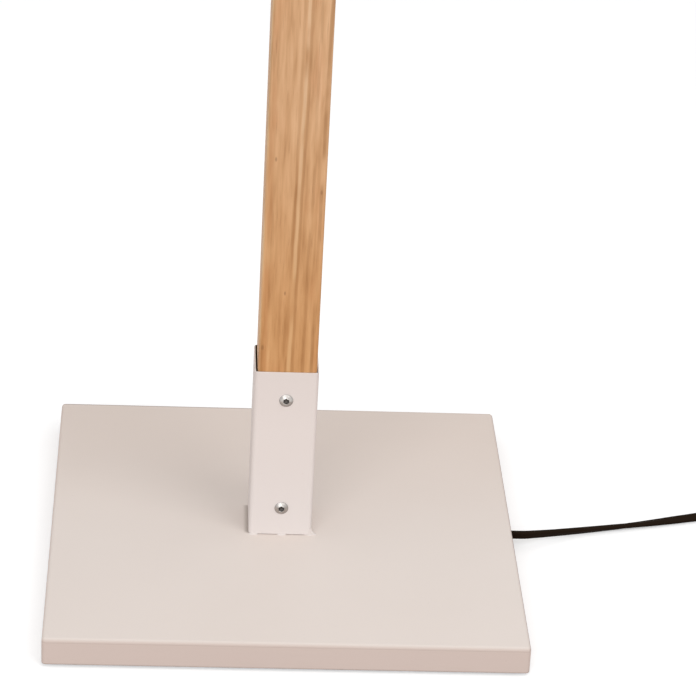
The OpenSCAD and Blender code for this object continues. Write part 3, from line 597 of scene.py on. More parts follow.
def softened(corners, steps=5, closed=True):
    """An outline through corners (x, y) or (x, y, rounding)."""
    points = []
    last = len(corners) - 1
    for i, (x, y, *ease) in enumerate(corners):
        here = Vector((x, y))
        if not ease or (not closed and i in (0, last)):
            points.append(here)
            continue
        before = Vector(corners[i - 1][:2]) - here
        after = Vector(corners[(i + 1) % len(corners)][:2]) - here
        start = here + before.normalized() * min(ease[0], before.length / 2)
        end = here + after.normalized() * min(ease[0], after.length / 2)
        for k in range(steps + 1):
            part = k / steps
            points.append(start.lerp(here, part).lerp(here.lerp(end, part), part))
    return points


def turned(corners, at, towards="up", closed=True, count=ROUND):
    """A lathe-turned piece from its profile (radius, height). An open profile starts and ends on the axis."""
    loops = [polar(point.x, point.y, count) for point in softened(corners, closed=closed)]
    return stacked(loops, closed, at, towards)


def folded(width, depth, corner, section, at, towards="up", closed=True):
    """Sheet folded round an oblong: the section is (distance in from the outside, height)."""
    least = 0.3
    loops = [oblong(width - 2 * d, depth - 2 * d, max(corner - d, least), h) for d, h in section]
    return stacked(loops, closed, at, towards)


def joined(*meshes):
    bm = bmesh.new()
    for mesh in meshes:
        bm.from_mesh(mesh)
    return smoothed(kept(bm))


def eased(node, width):
    """A merged copy of a CAD node with its hard edges rounded off, in millimetres."""
    bm = bmesh.new()
    bm.from_mesh(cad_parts[node].data)
    bmesh.ops.remove_doubles(bm, verts=bm.verts, dist=1e-6)
    bmesh.ops.dissolve_limit(bm, angle_limit=math.radians(0.4), verts=bm.verts, edges=bm.edges)
    settings = {
        "width": width * MM,
        "segments": 3,
        "limit_method": "ANGLE",
        "angle_limit": math.radians(40),
        "use_clamp_overlap": True,
    }
    return smoothed(worked(kept(bm), ("BEVEL", settings)))


def cut(mesh, low, high):
    """The mesh with a box, given by its lowest and highest corners in metres, taken out of it."""
    bm = bmesh.new()
    low, high = Vector(low), Vector(high)
    size = Matrix.Diagonal((*(high - low), 1))
    bmesh.ops.create_cube(bm, size=1, matrix=Matrix.Translation((low + high) / 2) @ size)
    cutter = added("cutter", kept(bm))
    made = worked(mesh, ("BOOLEAN", {"operation": "DIFFERENCE", "object": cutter, "solver": "EXACT"}))
    bpy.data.objects.remove(cutter)
    return smoothed(made)


def middle(node):
    low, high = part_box(node)
    return (low + high) / 2


def span(node):
    """The size of a node's box, in millimetres."""
    low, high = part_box(node)
    return (high - low) / MM


def seat(node, towards):
    """The middle of the face of a node's box from which the piece rises in a direction."""
    low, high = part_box(node)
    faces = {"up": (2, low), "down": (2, high), "front": (1, high), "back": (1, low), "right": (0, low)}
    axis, corner = faces[towards]
    spot = (low + high) / 2
    spot[axis] = corner[axis]
    return spot


def piece(name, mesh, body, material, *nodes):
    mesh.name = name
    mesh.materials.clear()
    mesh.materials.append(material)
    made = added(name, mesh)
    if body:
        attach(made, body)
    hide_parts(*nodes)
    return made


def lathed(name, node, profile, body, material, towards="up", closed=True):
    """A turned piece that stands for a node and sits where it does."""
    return piece(name, turned(profile, seat(node, towards), towards, closed), body, material, node)


# Trees for what repeats

def new_tree(name, inputs):
    """A geometry tree with named inputs; returns it, the wires of the inputs and its output socket."""
    tree = bpy.data.node_groups.new(name, "GeometryNodeTree")
    for label, kind in inputs.items():
        tree.interface.new_socket(label, in_out="INPUT", socket_type="NodeSocket" + kind)
    tree.interface.new_socket("Geometry", in_out="OUTPUT", socket_type="NodeSocketGeometry")
    start = tree.nodes.new("NodeGroupInput")
    end = tree.nodes.new("NodeGroupOutput")
    given = {socket.name: Wire(tree, socket) for socket in start.outputs if socket.name}
    return tree, given, end.inputs[0]


def end_tree(end, geometry, material):
    real = geometry.node("GeometryNodeRealizeInstances", None, {"Geometry": geometry})
    done = geometry.node("GeometryNodeSetMaterial", None, {"Geometry": real, "Material": material})
    geometry.feed(end, done)


def fixing_tree():
    """Sets a fixing on each point, standing along its facing, lined up with its along and spun at random."""
    inputs = {"Geometry": "Geometry", "Fixing": "Object", "Spin": "Float", "Seed": "Int"}
    tree, given, end = new_tree("fixings", {**inputs, "Finish": "Material"})
    wire = Wire(tree)
    vector = {"data_type": "FLOAT_VECTOR"}
    facing = wire.node("GeometryNodeInputNamedAttribute", vector, {"Name": "facing"})
    along = wire.node("GeometryNodeInputNamedAttribute", vector, {"Name": "along"})
    aim = wire.node("FunctionNodeAlignRotationToVector", {"axis": "Z"}, {"Vector": facing})
    settings = {"axis": "X", "pivot_axis": "Z"}
    aim = wire.node("FunctionNodeAlignRotationToVector", settings, {"Rotation": aim, "Vector": along})
    sockets = {3: math.tau, "Seed": given["Seed"]}
    angle = wire.node("FunctionNodeRandomValue", {"data_type": "FLOAT"}, sockets, out=1)
    sockets = {"Axis": (0, 0, 1), "Angle": angle * given["Spin"]}
    spin = wire.node("FunctionNodeAxisAngleToRotation", None, sockets)
    sockets = {"Rotation": aim, "Rotate By": spin}
    aim = wire.node("FunctionNodeRotateRotation", {"rotation_space": "LOCAL"}, sockets)
    thing = wire.node("GeometryNodeObjectInfo", None, {"Object": given["Fixing"]}, out="Geometry")
    sockets = {"Points": given["Geometry"], "Instance": thing, "Rotation": aim}
    end_tree(end, wire.node("GeometryNodeInstanceOnPoints", None, sockets), given["Finish"])
    return tree


def shade_tree():
    """The spun shade's skin: a flat top from the hole to the neck, then a flaring wall down to the mouth."""
    sizes = ("Hole Radius", "Neck Radius", "Mouth Radius", "Height")
    inputs = {"Geometry": "Geometry", **{size: "Float" for size in sizes}, "Finish": "Material"}
    tree, given, end = new_tree("spun_shade", inputs)
    hole, neck, mouth, height = [given[size] for size in sizes]
    wire = Wire(tree)
    top_share, straight, bulge = 0.16, 0.72, 0.28
    steps_round, steps_down = 145, 61
    sockets = {"Size X": 1.0, "Size Y": 1.0, "Vertices X": steps_round, "Vertices Y": steps_down}
    grid = wire.node("GeometryNodeMeshGrid", None, sockets, out="Mesh")
    spot = wire.node("GeometryNodeInputPosition")
    angle = (part_of(spot, "X") + 0.5) * math.tau
    run = (part_of(spot, "Y") + 0.5 - top_share) / (1 - top_share)
    wall = wire.math("MAXIMUM", run, 0.0)
    flat = wire.math("MINIMUM", run * ((1 - top_share) / top_share), 0.0) + 1
    flare = wall * straight + wire.math("SINE", wall * (math.pi / 2)) * bulge
    radius = hole + (neck - hole) * flat + (mouth - neck) * flare
    x = radius * wire.math("COSINE", angle)
    y = radius * wire.math("SINE", angle)
    place = wire.node("ShaderNodeCombineXYZ", None, {"X": x, "Y": y, "Z": wall * height * -1})
    skin = wire.node("GeometryNodeSetPosition", None, {"Geometry": grid, "Position": place})
    skin = wire.node("GeometryNodeMergeByDistance", None, {"Geometry": skin, "Distance": 0.00001})
    end_tree(end, skin, given["Finish"])
    return tree


def grown(tree, values, mesh=None):
    """The plain mesh that a tree makes from its inputs."""
    holder = added("work", mesh or bpy.data.meshes.new("start"))
    modifier = holder.modifiers.new("tree", "NODES")
    modifier.node_group = tree
    for item in tree.interface.items_tree:
        if item.in_out == "INPUT" and item.name in values:
            modifier[item.identifier] = values[item.name]
    return evaluated(holder)


FIXINGS = fixing_tree()


def fixed(template, spots, material, spin=1.0, seed=3):
    """One mesh of a template set at spots, each a place, the way it faces and the way it is lined up."""
    points = bpy.data.meshes.new("spots")
    points.from_pydata([spot[0] for spot in spots], [], [])
    for name, column in (("facing", 1), ("along", 2)):
        attribute = points.attributes.new(name, "FLOAT_VECTOR", "POINT")
        for i, spot in enumerate(spots):
            attribute.data[i].vector = spot[column]
    fixing = added("fixing", template)
    made = grown(FIXINGS, {"Fixing": fixing, "Spin": spin, "Seed": seed, "Finish": material}, points)
    bpy.data.objects.remove(fixing)
    return smoothed(made)


def around(centre, axis, first, radius, count):
    """Spots on a ring, facing out and lined up with its axis."""
    spots = []
    for i in range(count):
        out = Matrix.Rotation(math.tau * i / count, 3, axis) @ first
        spots.append((centre + out * radius, out, axis))
    return spots


def button_head(diameter, height, key, shank, shank_length):
    """A domed head with a hexagon socket, standing up from z = 0, with its shank below."""
    radius = diameter / 2
    ball = (radius * radius + height * height) / (2 * height)
    rim = key * 0.78
    deep = 0.62 * height
    edge = 0.15
    loops = [polar(shank * 0.35, -shank_length), polar(shank / 2, 1 - shank_length), polar(shank / 2, 0)]
    loops += [polar(radius - 0.2, 0), polar(radius, edge)]
    for i in range(9):
        r = radius - (radius - rim) * (i / 8) ** 0.8
        loops.append(polar(r, max(math.sqrt(ball * ball - r * r) - ball + height, edge + 0.02 * i)))
    loops += [
        polar(hexagon(key + 0.9), height - 0.16),
        polar(hexagon(key), height - 0.55),
        polar(hexagon(key), height - deep),
        polar(0.0, height - deep - 0.25),
    ]
    mesh = stacked(loops)
    # Painted shade: the hexagon socket and the rim where the head meets its seat are marked dark.
    grime = mesh.attributes.new("grime", "FLOAT", "POINT")
    for vertex, mark in zip(mesh.vertices, grime.data):
        spot = vertex.co / MM
        in_key = spot.xy.length < 0.62 * key and 0 < spot.z < height - 0.5
        at_rim = spot.z < 0.2 and spot.xy.length > radius - 0.3
        mark.value = 1.0 if in_key else 0.6 * at_rim
    return mesh


# Cords and leads

def spline(points, parts):
    """A smooth curve through points, with so many steps to each span."""
    way = []
    last = len(points) - 1
    for i in range(last):
        a, b = points[max(i - 1, 0)], points[i]
        c, d = points[i + 1], points[min(i + 2, last)]
        square, cube = 2 * a - 5 * b + 4 * c - d, 3 * b - a - 3 * c + d
        for k in range(parts):
            s = k / parts
            way.append(0.5 * (2 * b + (c - a) * s + square * s ** 2 + cube * s ** 3))
    return way + [points[-1]]


def flex_outline(steps=7):
    """Half round ends with a faint valley between the two cores."""
    radius = CORD_T / 2
    reach = CORD_W / 2 - radius
    valley = 0.94
    points = []
    for side in (1, -1):
        for i in range(steps + 1):
            angle = math.pi * (i / steps - 0.5)
            points.append((side * (reach + radius * math.cos(angle)), side * radius * math.sin(angle)))
        points.append((0.0, side * radius * valley))
    return points


def flex(way, rolls, reference):
    """A tube of flat flex along a way; a roll of 0 lays its width along the reference."""
    outline = flex_outline()
    loops = []
    for i, spot in enumerate(way):
        run = (way[min(i + 1, len(way) - 1)] - way[max(i - 1, 0)]).normalized()
        up = (reference - run * reference.dot(run)).normalized()
        side = run.cross(up)
        roll = math.radians(rolls[i])
        wide = up * math.cos(roll) + side * math.sin(roll)
        thin = side * math.cos(roll) - up * math.sin(roll)
        loops.append([spot + wide * w + thin * t for w, t in outline])
    bm = skinned(loops)
    bmesh.ops.recalc_face_normals(bm, faces=bm.faces)
    return smoothed(kept(bm), 60)


# The cord on the floor. The route is right of the exit, back from the exit and above the floor, in metres.
CORD_EXIT = seat("cord_gland", "right")
CORD_EXIT.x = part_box("cord_gland")[1].x
CORD_ROUTE = [
    (0.008, 0, 0.0085),
    (0.015, 0.002, 0.0078),
    (0.029, 0.0084, 0.0054),
    (0.049, 0.0162, 0.0032),
    (0.071, 0.0222, 0.0026),
    (0.095, 0.0283, 0.0025),
    (0.120, 0.0345, 0.003),
    (0.150, 0.0423, 0.0036),
    (0.175, 0.0488, 0.0041),
]
# How far the cord has rolled at each point, in degrees
CORD_ROLLS = [0, 8, 20, 33, 46, 78, 118, 168, 180]
COIL_AT = CORD_EXIT + Vector((0.2004, 0.0972, 0))
COIL_START = -76
COIL_GAP = 0.0008
COIL_PITCH = CORD_T + COIL_GAP
COIL_LIFT = CORD_W + COIL_GAP
COIL_LOW = 0.0041
COIL_TURNS = (8 - (90 + COIL_START) / 360 - 0.5) / 2
COIL_OUT = 0.033 + COIL_TURNS * COIL_PITCH / 2
COIL_IN = COIL_OUT - COIL_TURNS * COIL_PITCH
PLUG_H = 0.0137
TAIL_END = Vector((COIL_AT.x + 0.078, COIL_AT.y - COIL_OUT - 0.0001, PLUG_H / 2))


def coil_point(angle):
    """In on the lower layer, up in half a turn, out on the upper layer."""
    inward = 360 * COIL_TURNS
    if angle < inward:
        radius = COIL_OUT - COIL_PITCH * angle / 360
    elif angle < inward + 180:
        radius = COIL_IN - COIL_PITCH / 4 * math.sin(math.radians(angle - inward))
    else:
        radius = COIL_IN + COIL_PITCH * (angle - inward - 180) / 360
    climb = min(max((angle - inward) / 180, 0), 1)
    turn = math.radians(COIL_START + angle)
    height = COIL_LOW + COIL_LIFT * climb * climb * (3 - 2 * climb)
    return Vector((COIL_AT.x + radius * math.cos(turn), COIL_AT.y + radius * math.sin(turn), height))


def heading(angle):
    turn = math.radians(COIL_START + 90 + angle)
    return Vector((math.cos(turn), math.sin(turn), 0))


def cord_way():
    """The points of the whole cord and the roll at each."""
    whole = 360 * (2 * COIL_TURNS + 0.5)
    steps = round(whole / 15)
    coil = [coil_point(whole * i / steps) for i in range(steps + 1)]
    coil = [coil[0] - heading(0) * CORD_W] + coil + [coil[-1] + heading(whole) * CORD_W]
    route = [CORD_EXIT + Vector((x, y, z - CORD_EXIT.z)) for x, y, z in CORD_ROUTE]
    drop = coil[-1].z - TAIL_END.z
    falls = [(0.054, 0.86), (0.036, 0.5), (0.020, 0.14), (0.008, 0.0), (0.0, 0.0)]
    tail = [coil[-1] + Vector((CORD_W, 0, 0))]
    tail += [TAIL_END + Vector((-back, 0, share * drop)) for back, share in falls]
    points = [CORD_EXIT] + route + [coil[0] - heading(0) * 2 * CORD_W] + coil + tail
    rolls = CORD_ROLLS[:1] + CORD_ROLLS
    rolls += CORD_ROLLS[-1:] * (len(points) - len(rolls))
    parts = 4
    way_rolls = []
    for first, second in zip(rolls, rolls[1:]):
        way_rolls += [first + (second - first) * k / parts for k in range(parts)]
    return spline(points, parts), way_rolls + [rolls[-1]]


def plug():
    """The moulded plug lying at the cord's end, and its pins with their sleeves."""
    # Distance from the cord's end, height, width and corner
    sections = [
        (0.0, 8.2, 10.4, 3.9),
        (0.7, 9.6, 12.4, 4.5),
        (5.0, 10.8, 15.2, 5.0),
        (9.0, 12.3, 22.0, 5.6),
        (12.5, 13.2, 30.6, 6.0),
        (16.0, 13.6, 34.2, 6.2),
        (20.0, 13.7, 35.0, 6.2),
        (34.4, 13.7, 35.0, 6.2),
        (35.4, 13.1, 34.4, 5.9),
        (36.0, 11.8, 33.1, 5.2),
    ]
    loops = [oblong(high, wide, corner, along) for along, high, wide, corner in sections]
    body = piece("plug_moulding", stacked(loops, at=TAIL_END, towards="right"), "stand", BLACK, "plug_body")
    low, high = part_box("plug_pins")
    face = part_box("plug_body")[1].x
    root, core, pin_r, sleeve, sleeve_bore, sleeve_r = -3, 1.6, 2.0, 10.0, 1.55, 1.9
    reach = (high.x - face) / MM
    pin = [(0, root), (core, root), (core, sleeve), (pin_r, sleeve, 0.2), (pin_r, reach, 1.6), (0, reach)]
    jacket = [(sleeve_bore, root), (sleeve_r, root), (sleeve_r, sleeve, 0.2), (sleeve_bore, sleeve)]
    ends = [Vector((face, y, TAIL_END.z)) for y in (low.y + pin_r * MM, high.y - pin_r * MM)]
    pins = joined(*[turned(pin, at, "right", closed=False, count=32) for at in ends])
    sleeves = joined(*[turned(jacket, at, "right", count=32) for at in ends])
    pins = piece("plug_contacts", pins, "stand", BRASS, "plug_pins")
    return [body, pins, piece("plug_sleeves", sleeves, "stand", BLACK)]


def cord_strap():
    size = span("cord_tie")
    edge, soft, thick, corner = size.x / 2, 0.25, 1.0, 2.2
    outer = [(0, soft - edge), (0, edge - soft), (soft, edge), (thick - soft, edge)]
    section = outer + [(thick - inward, -height) for inward, height in outer]
    mesh = folded(size.z, size.y, corner, section, middle("cord_tie"), "right")
    return piece("cord_strap", mesh, "stand", BLACK, "cord_tie")


way, rolls = cord_way()
cord = piece("flex_cord", flex(way, rolls, UP), "stand", SHEATH, "power_cord", "cord_coil", "cord_tail")
cord_length = sum((b - a).length for a, b in zip(way, way[1:]))
plug() + [cord_strap()]


# Stand

def tray():
    size = span("base_shell")
    tall, ceiling, hem = size.z, size.z - TRAY_SHEET, 0.4
    section = [(inward, tall - drop) for inward, drop in elbow(TRAY_FOLD)]
    section += [(0, hem), (hem * 0.3, hem * 0.3), (hem, 0), (TRAY_SHEET - hem, 0), (TRAY_SHEET, hem)]
    section += [(TRAY_SHEET, tall - TRAY_FOLD), (TRAY_SHEET + 0.3, ceiling - 0.3), (TRAY_FOLD, ceiling)]
    mesh = folded(size.x, size.x, TRAY_FOLD, section, seat("base_shell", "up"), closed=False)
    piece("tray", mesh, "stand", TRAY_WHITE, "base_shell")


def socket_and_cap():
    """The open sleeve that holds the post, and the closed cap on the post's top."""
    size = span("post_socket")
    foot, tall, wall, lip, soft = FOOT_GAP, size.z, SOCKET_SHEET, 0.35, 0.1
    section = [(lip, foot), (soft, foot + soft), (0, foot + lip), (0, tall - lip), (soft, tall - soft)]
    section += [(lip, tall), (wall - lip, tall), (wall - soft, tall - soft), (wall, tall - lip), (wall, foot)]
    mesh = folded(size.x, size.y, SOCKET_FOLD, section, seat("post_socket", "up"))
    piece("socket", mesh, "stand", SOCKET_WHITE, "post_socket")
    tall, soft = span("post_cap").z, 0.3
    section = [(wall, tall - CAP_TOP), (wall, soft), (wall - soft, 0), (soft, 0), (0, soft)]
    section += [(inward, tall - drop) for inward, drop in reversed(elbow(CAP_TOP))]
    mesh = folded(size.x, size.y, SOCKET_FOLD, section, seat("post_cap", "up"), closed=False)
    piece("cap", mesh, "stand", WHITE, "post_cap")


def weld_bead(long, wide, high):
    """A rippled bead that lies along X on z = 0, in millimetres."""
    bm = bmesh.new()
    bmesh.ops.create_icosphere(bm, subdivisions=4, radius=1)
    for vert in bm.verts:
        x, y, z = vert.co
        ripple = 1 + 0.07 * math.sin(5.0 * x + 0.7) + 0.05 * math.sin(4.1 * y + 3.3 * x)
        vert.co = Vector((long * x, wide * y * ripple, high * z * ripple))
    return smoothed(meshed(bm))


def welds():
    """Tack welds at the socket's foot: beads at the front's middle and left end, two beads on the back, and a
    fillet and a small bead that spread from the front's right corner over the tray."""
    low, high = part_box("post_socket")
    lean, back_inset = 0.6, 8 * MM
    front, back = (FRONT * lean + UP).normalized(), (BACK * lean + UP).normalized()
    front_x = (middle("post_socket").x + 1.2 * MM, low.x + 3.2 * MM)
    back_x = (low.x + back_inset, high.x - back_inset)
    beads = [(Vector((x, low.y, low.z)), front, RIGHT) for x in front_x]
    beads += [(Vector((x, high.y, low.z)), back, RIGHT) for x in back_x]
    corner_bead = [(Vector((high.x - 1.0 * MM, low.y + 0.2 * MM, low.z)), front, RIGHT)]
    # The fillet's height, and half its width there
    spread = [(0.0, 4.4), (0.4, 3.7), (0.9, 3.05), (1.9, 2.15), (3.0, 1.5), (4.2, 1.05), (5.0, 0.8)]
    thick = 1.1
    flare = [[(wide / thick * x, y, tall) for x, y, _ in polar(thick, 0, 24)] for tall, wide in spread]
    fillet = stacked(flare, at=(high.x - 0.8 * MM, low.y + 1.0 * MM, low.z))
    tacks = fixed(weld_bead(long=2.9, wide=1.3, high=0.7), beads, WELD_WHITE, spin=0.01, seed=11)
    toe = fixed(weld_bead(long=1.6, wide=1.1, high=0.6), corner_bead, WELD_WHITE, spin=0.01, seed=13)
    piece("tack_welds", joined(tacks, fillet, toe), "stand", WELD_WHITE, "socket_welds")


def through(node, x, z):
    """Spots on a node's front and back, facing out."""
    low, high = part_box(node)
    return [(Vector((x, low.y, z)), FRONT, UP), (Vector((x, high.y, z)), BACK, UP)]


def timber_screw(shank_length):
    return button_head(SCREW_HEAD, SCREW_TALL, SCREW_KEY, SCREW_SHANK, shank_length)


def screws():
    """Screws in the post's socket and cap and in the arm's fork, and smaller ones in the cup."""
    inset = SCREW_HEAD / 2 * MM
    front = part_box("post_socket")[0].y
    spots = []
    for node in ("socket_screws", "cap_screws"):
        low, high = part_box(node)
        spots += [(Vector((middle(node).x, front, z)), FRONT, UP) for z in (low.z + inset, high.z - inset)]
    mesh = fixed(timber_screw(shank_length=12), spots, STEEL, seed=5)
    piece("stand_screws", mesh, "stand", STEEL, "socket_screws", "cap_screws")
    low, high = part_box("fork_screws")
    spots = []
    for x in (low.x + inset, high.x - inset):
        spots += through("arm_fork", x, middle("fork_screws").z)
    mesh = fixed(timber_screw(shank_length=9), spots, STEEL, seed=8)
    piece("arm_screws", mesh, "swing_arm", STEEL, "fork_screws")
    at = middle("cup_screws")
    head = button_head(diameter=5.5, height=1.6, key=2.0, shank=3.0, shank_length=6)
    mesh = fixed(head, through("holder_cup", at.x, at.z), STEEL, seed=9)
    piece("head_screws", mesh, "lamp_head", STEEL, "cup_screws")


def post():
    size = span("post")
    half, back, split = GROOVE_W / 2, size.y / 2, CORNER + 1
    outline = [point[:2] for point in oblong(size.x, size.y, TIMBER_ROUND)]
    groove = [(half, back), (half, back - GROOVE_D), (-half, back - GROOVE_D), (-half, back)]
    outline = outline[:split] + groove + outline[split:]
    heights = [0, 1, size.z * 0.25, size.z * 0.5, size.z * 0.75, size.z - 1, size.z]
    loops = [[(x, y, z) for x, y in outline] for z in heights]
    piece("timber_post", stacked(loops, at=seat("post", "up")), "stand", POST_WOOD, "post")
    piece("back_strip", eased("post_strip", 0.25), "stand", POST_WOOD, "post_strip")


def lead(points, name, body, node, first_rolls=(), parts=1):
    way = spline([Vector(point) for point in points], parts)
    rolls = list(first_rolls) + [0] * (len(way) - len(first_rolls))
    return piece(name, flex(way, rolls, BACK), body, SHEATH, node)


def riser_lead():
    """The lead from the gland along the base's lane, up the post's groove and into the stem."""
    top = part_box("post_lead")[1].z
    lane_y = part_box("post_lead")[1].y - CORD_W / 2
    bend = 0.014
    x, y, z = CORD_EXIT
    way = [(x, y, z), (x - 0.0295, y, z), (0.090, y, z), (0.060, (y + lane_y) / 2, z)]
    way += [(0.034, lane_y, z), (0.018, lane_y, z)]
    way += [(across, lane_y, z + up) for across, up in elbow(bend, 6)]
    post_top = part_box("post")[1].z
    way += [(0, lane_y, 0.060), (0, lane_y, post_top - 0.080), (0, lane_y, post_top - 0.054)]
    way += [(0, 0.8 * lane_y, post_top - 0.042), (0, 0.2 * lane_y, post_top - 0.018)]
    way += [(0, 0, post_top - 0.006), (0, 0, top)]
    lead(way, "riser_lead", "stand", "post_lead", [90, 90, 60, 30])


def arm_leads():
    """The lead in the arm's groove, those that bend at the arm's two ends, and the one in the cup."""
    stem_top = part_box("post_lead")[1].z
    low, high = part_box("arm_lead")
    lane = high.z - CORD_T / 2
    drop_x = high.x - CORD_T / 2
    bend = 0.010
    way = [(low.x, 0, lane), (0.120, 0, lane), (drop_x - 2 * bend, 0, lane)]
    way += [(drop_x - back, 0, lane - down) for back, down in elbow(bend, 5)]
    way.append((drop_x, 0, low.z))
    lead(way, "arm_flex", "swing_arm", "arm_lead")
    # Distance right of the post's axis, and share of the rise
    curve = [(0, 0), (0, 0.15), (0.0006, 0.35), (0.0035, 0.6), (0.010, 0.86), (0.020, 0.98)]
    curve += [(0.0282, 1), (low.x, 1)]
    way = [(x, 0, stem_top + share * (lane - stem_top)) for x, share in curve]
    bent = lead(way, "hinge_flex", None, "hinge_lead", parts=4)
    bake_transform(bent)
    head_low, head_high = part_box("head_lead")
    cup_x = head_high.x - CORD_T / 2
    across, tall = cup_x - drop_x, low.z - head_low.z
    # Shares of the way across and of the fall
    curve = [(0, 0), (0, 0.12), (0.18, 0.36), (0.82, 0.64), (1, 0.88), (1, 1)]
    way = [(drop_x + share * across, 0, low.z - fall * tall) for share, fall in curve]
    bent = lead(way, "head_flex", None, "head_lead", parts=4)
    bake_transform(bent)
    low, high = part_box("holder_lead")
    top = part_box("holder_cup")[1].z
    way = [(cup_x, 0, high.z), (cup_x, 0, top - 0.008), (cup_x + 0.0015, 0, top - 0.014)]
    way += [(cup_x + 0.0025, 0, low.z + 0.005), (cup_x + 0.0025, 0, low.z)]
    lead(way, "holder_flex", "lamp_head", "holder_lead")


def gland_and_stem():
    bore, tail, neck, flange, length = 3.1, 3.7, 4.3, 5.1, span("cord_gland").x
    profile = [(bore, 0), (tail, 0, 0.2), (neck, 20), (neck, length - 1), (flange, length - 1, 0.2)]
    profile += [(flange, length, 0.5), (bore, length, 0.4)]
    lathed("gland", "cord_gland", profile, "stand", BLACK, "right")
    tall = span("swivel_stem").z
    bore, crest, root, pitch = 4.0, 7.0, 6.55, 1.0
    profile = [(bore, 0), (crest, 0)]
    z = pitch
    while z < tall - 1.2:
        profile += [(crest, z), (root, z + pitch / 2)]
        z += pitch
    profile += [(crest, tall - 0.9), (6.4, tall, 0.2), (bore, tall, 0.4)]
    lathed("threaded_stem", "swivel_stem", profile, "stand", STEEL)
    piece("hexagon_nut", eased("stem_nut", 0.5), "stand", STEEL, "stem_nut")


tray()
socket_and_cap()
welds()
screws()
post()
riser_lead()
arm_leads()
gland_and_stem()


# Swivel, hinges and knobs

def washer(name, node, towards, body, material, radius, bore, thick):
    profile = [(bore, 0, 0.2), (radius, 0, 0.3), (radius, thick, 0.35), (bore, thick, 0.2)]
    lathed(name, node, profile, body, material, towards)


def clamp_bolt(name, node, body):
    """A bolt with a domed head at the back and its end in the knob."""
    length = span(node).y
    shank, head, head_h, dome, key, sweep = 4.0, 8.0, 4.8, 2.6, 5.0, 1.25
    under, deep = length - head_h, length - dome
    loops = [polar(3.3, 0), polar(shank, 0.8), polar(shank, under), polar(head - 0.6, under)]
    loops += [polar(head, under + 0.5), polar(head, deep)]
    for i in range(1, 7):
        angle = i / 6 * sweep
        loops.append(polar(3.6 + 4.4 * math.cos(angle), deep + dome * math.sin(angle) / math.sin(sweep)))
    loops += [polar(hexagon(key + 0.4), length - 0.1), polar(hexagon(key), length - 0.5)]
    loops += [polar(hexagon(key), deep), polar(0.0, deep - 0.6)]
    piece(name, stacked(loops, at=seat(node, "back"), towards="back"), body, STEEL, node)


def clamp_knob(name, node, body):
    """A six-lobed knob with a hub, rounded shoulders and a dished face."""
    radius, dip, hub, hub_h, tall, dish = 17.0, 2.04, 7.65, 4.0, 15.0, 9.6
    # Share of the radius, and height
    shoulder = [
        (0.90, hub_h),
        (0.955, hub_h + 0.25),
        (0.99, hub_h + 0.9),
        (1.0, hub_h + 1.9),
        (1.0, tall - 3.0),
        (0.985, tall - 1.6),
        (0.945, tall - 0.6),
        (0.88, tall - 0.1),
        (0.82, tall),
    ]
    foot = [(0.0, 0), (hub - 0.5, 0), (hub, 0.4), (hub, hub_h - 0.6), (hub + 0.7, hub_h)]
    face = [(dish, tall - 0.15), (dish - 0.5, tall - 0.7), (6.0, tall - 1.3), (0.0, tall - 1.5)]
    loops = [polar(r, z) for r, z in foot]
    loops += [polar(lobed(radius * share, dip * share), z) for share, z in shoulder]
    loops += [polar(r, z) for r, z in face]
    piece(name, stacked(loops, at=seat(node, "front"), towards="front"), body, BLACK, node)


def pair(profile, node):
    """The same turned profile rising to the front and to the back from a node's middle."""
    at = middle(node)
    return joined(turned(profile, at, "front"), turned(profile, at, "back"))


washer("friction_pad", "swivel_pad", "up", "swivel", NYLON, radius=15.0, bore=STEM_BORE, thick=2.0)
washer("stem_washer", "swivel_washer", "up", "swivel", STEEL, radius=11.0, bore=STEM_BORE, thick=1.5)
knob_washer = {"radius": 8.8, "bore": BOLT_BORE, "thick": 1.46}
washer("hinge_washer", "knob_washer", "front", "swivel", STEEL, **knob_washer)
washer("head_washer", "head_knob_washer", "front", "swing_arm", STEEL, **knob_washer)
piece("hinge_yoke", eased("yoke", 0.5), "swivel", WHITE, "yoke")
clamp_bolt("hinge_pin", "hinge_bolt", "swivel")
clamp_bolt("head_pin", "head_bolt", "swing_arm")
clamp_knob("hinge_hand_knob", "hinge_knob", "arm_clamp_knob")
clamp_knob("head_hand_knob", "head_knob", "head_clamp_knob")
# Profiles as radius and distance from the arm's middle
bush = [(BOLT_BORE, 1), (5.5, 1), (5.5, 12), (11.0, 12, 0.25), (11.0, 13, 0.35), (BOLT_BORE, 13, 0.2)]
piece("hinge_bushes", pair(bush, "arm_bushes"), "swing_arm", NYLON, "arm_bushes")
shim = [(BOLT_BORE, 10.9), (11.0, 10.9, 0.2), (11.0, 11.9, 0.2), (BOLT_BORE, 11.9)]
piece("head_shims", pair(shim, "head_washers"), "lamp_head", NYLON, "head_washers")


# Arm

def arm():
    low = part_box("arm")[0]
    size = span("arm")
    long, soft, softer = size.x, 0.8, 0.24
    # Distance in from the sides, and distance along
    ends = [(soft, 0), (softer, softer), (0, soft), (0, long * 0.3), (0, long * 0.7), (0, long - soft)]
    ends += [(softer, long - softer), (soft, long)]
    loops = [oblong(size.z - 2 * d, size.y - 2 * d, TIMBER_ROUND, along) for d, along in ends]
    mesh = stacked(loops, at=seat("arm", "right"), towards="right")
    half = GROOVE_W / 2 * MM
    lead_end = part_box("arm_lead")[1].x - CORD_T / 2
    mesh = cut(mesh, (-0.010, -half, low.z - 0.002), (lead_end + 0.006, half, low.z + 0.0088))
    piece("timber_arm", mesh, "swing_arm", ARM_WOOD, "arm")
    piece("under_strip", eased("arm_strip", 0.25), "swing_arm", ARM_WOOD, "arm_strip")
    piece("end_fork", eased("arm_fork", 0.4), "swing_arm", WHITE, "arm_fork")


arm()


# Head

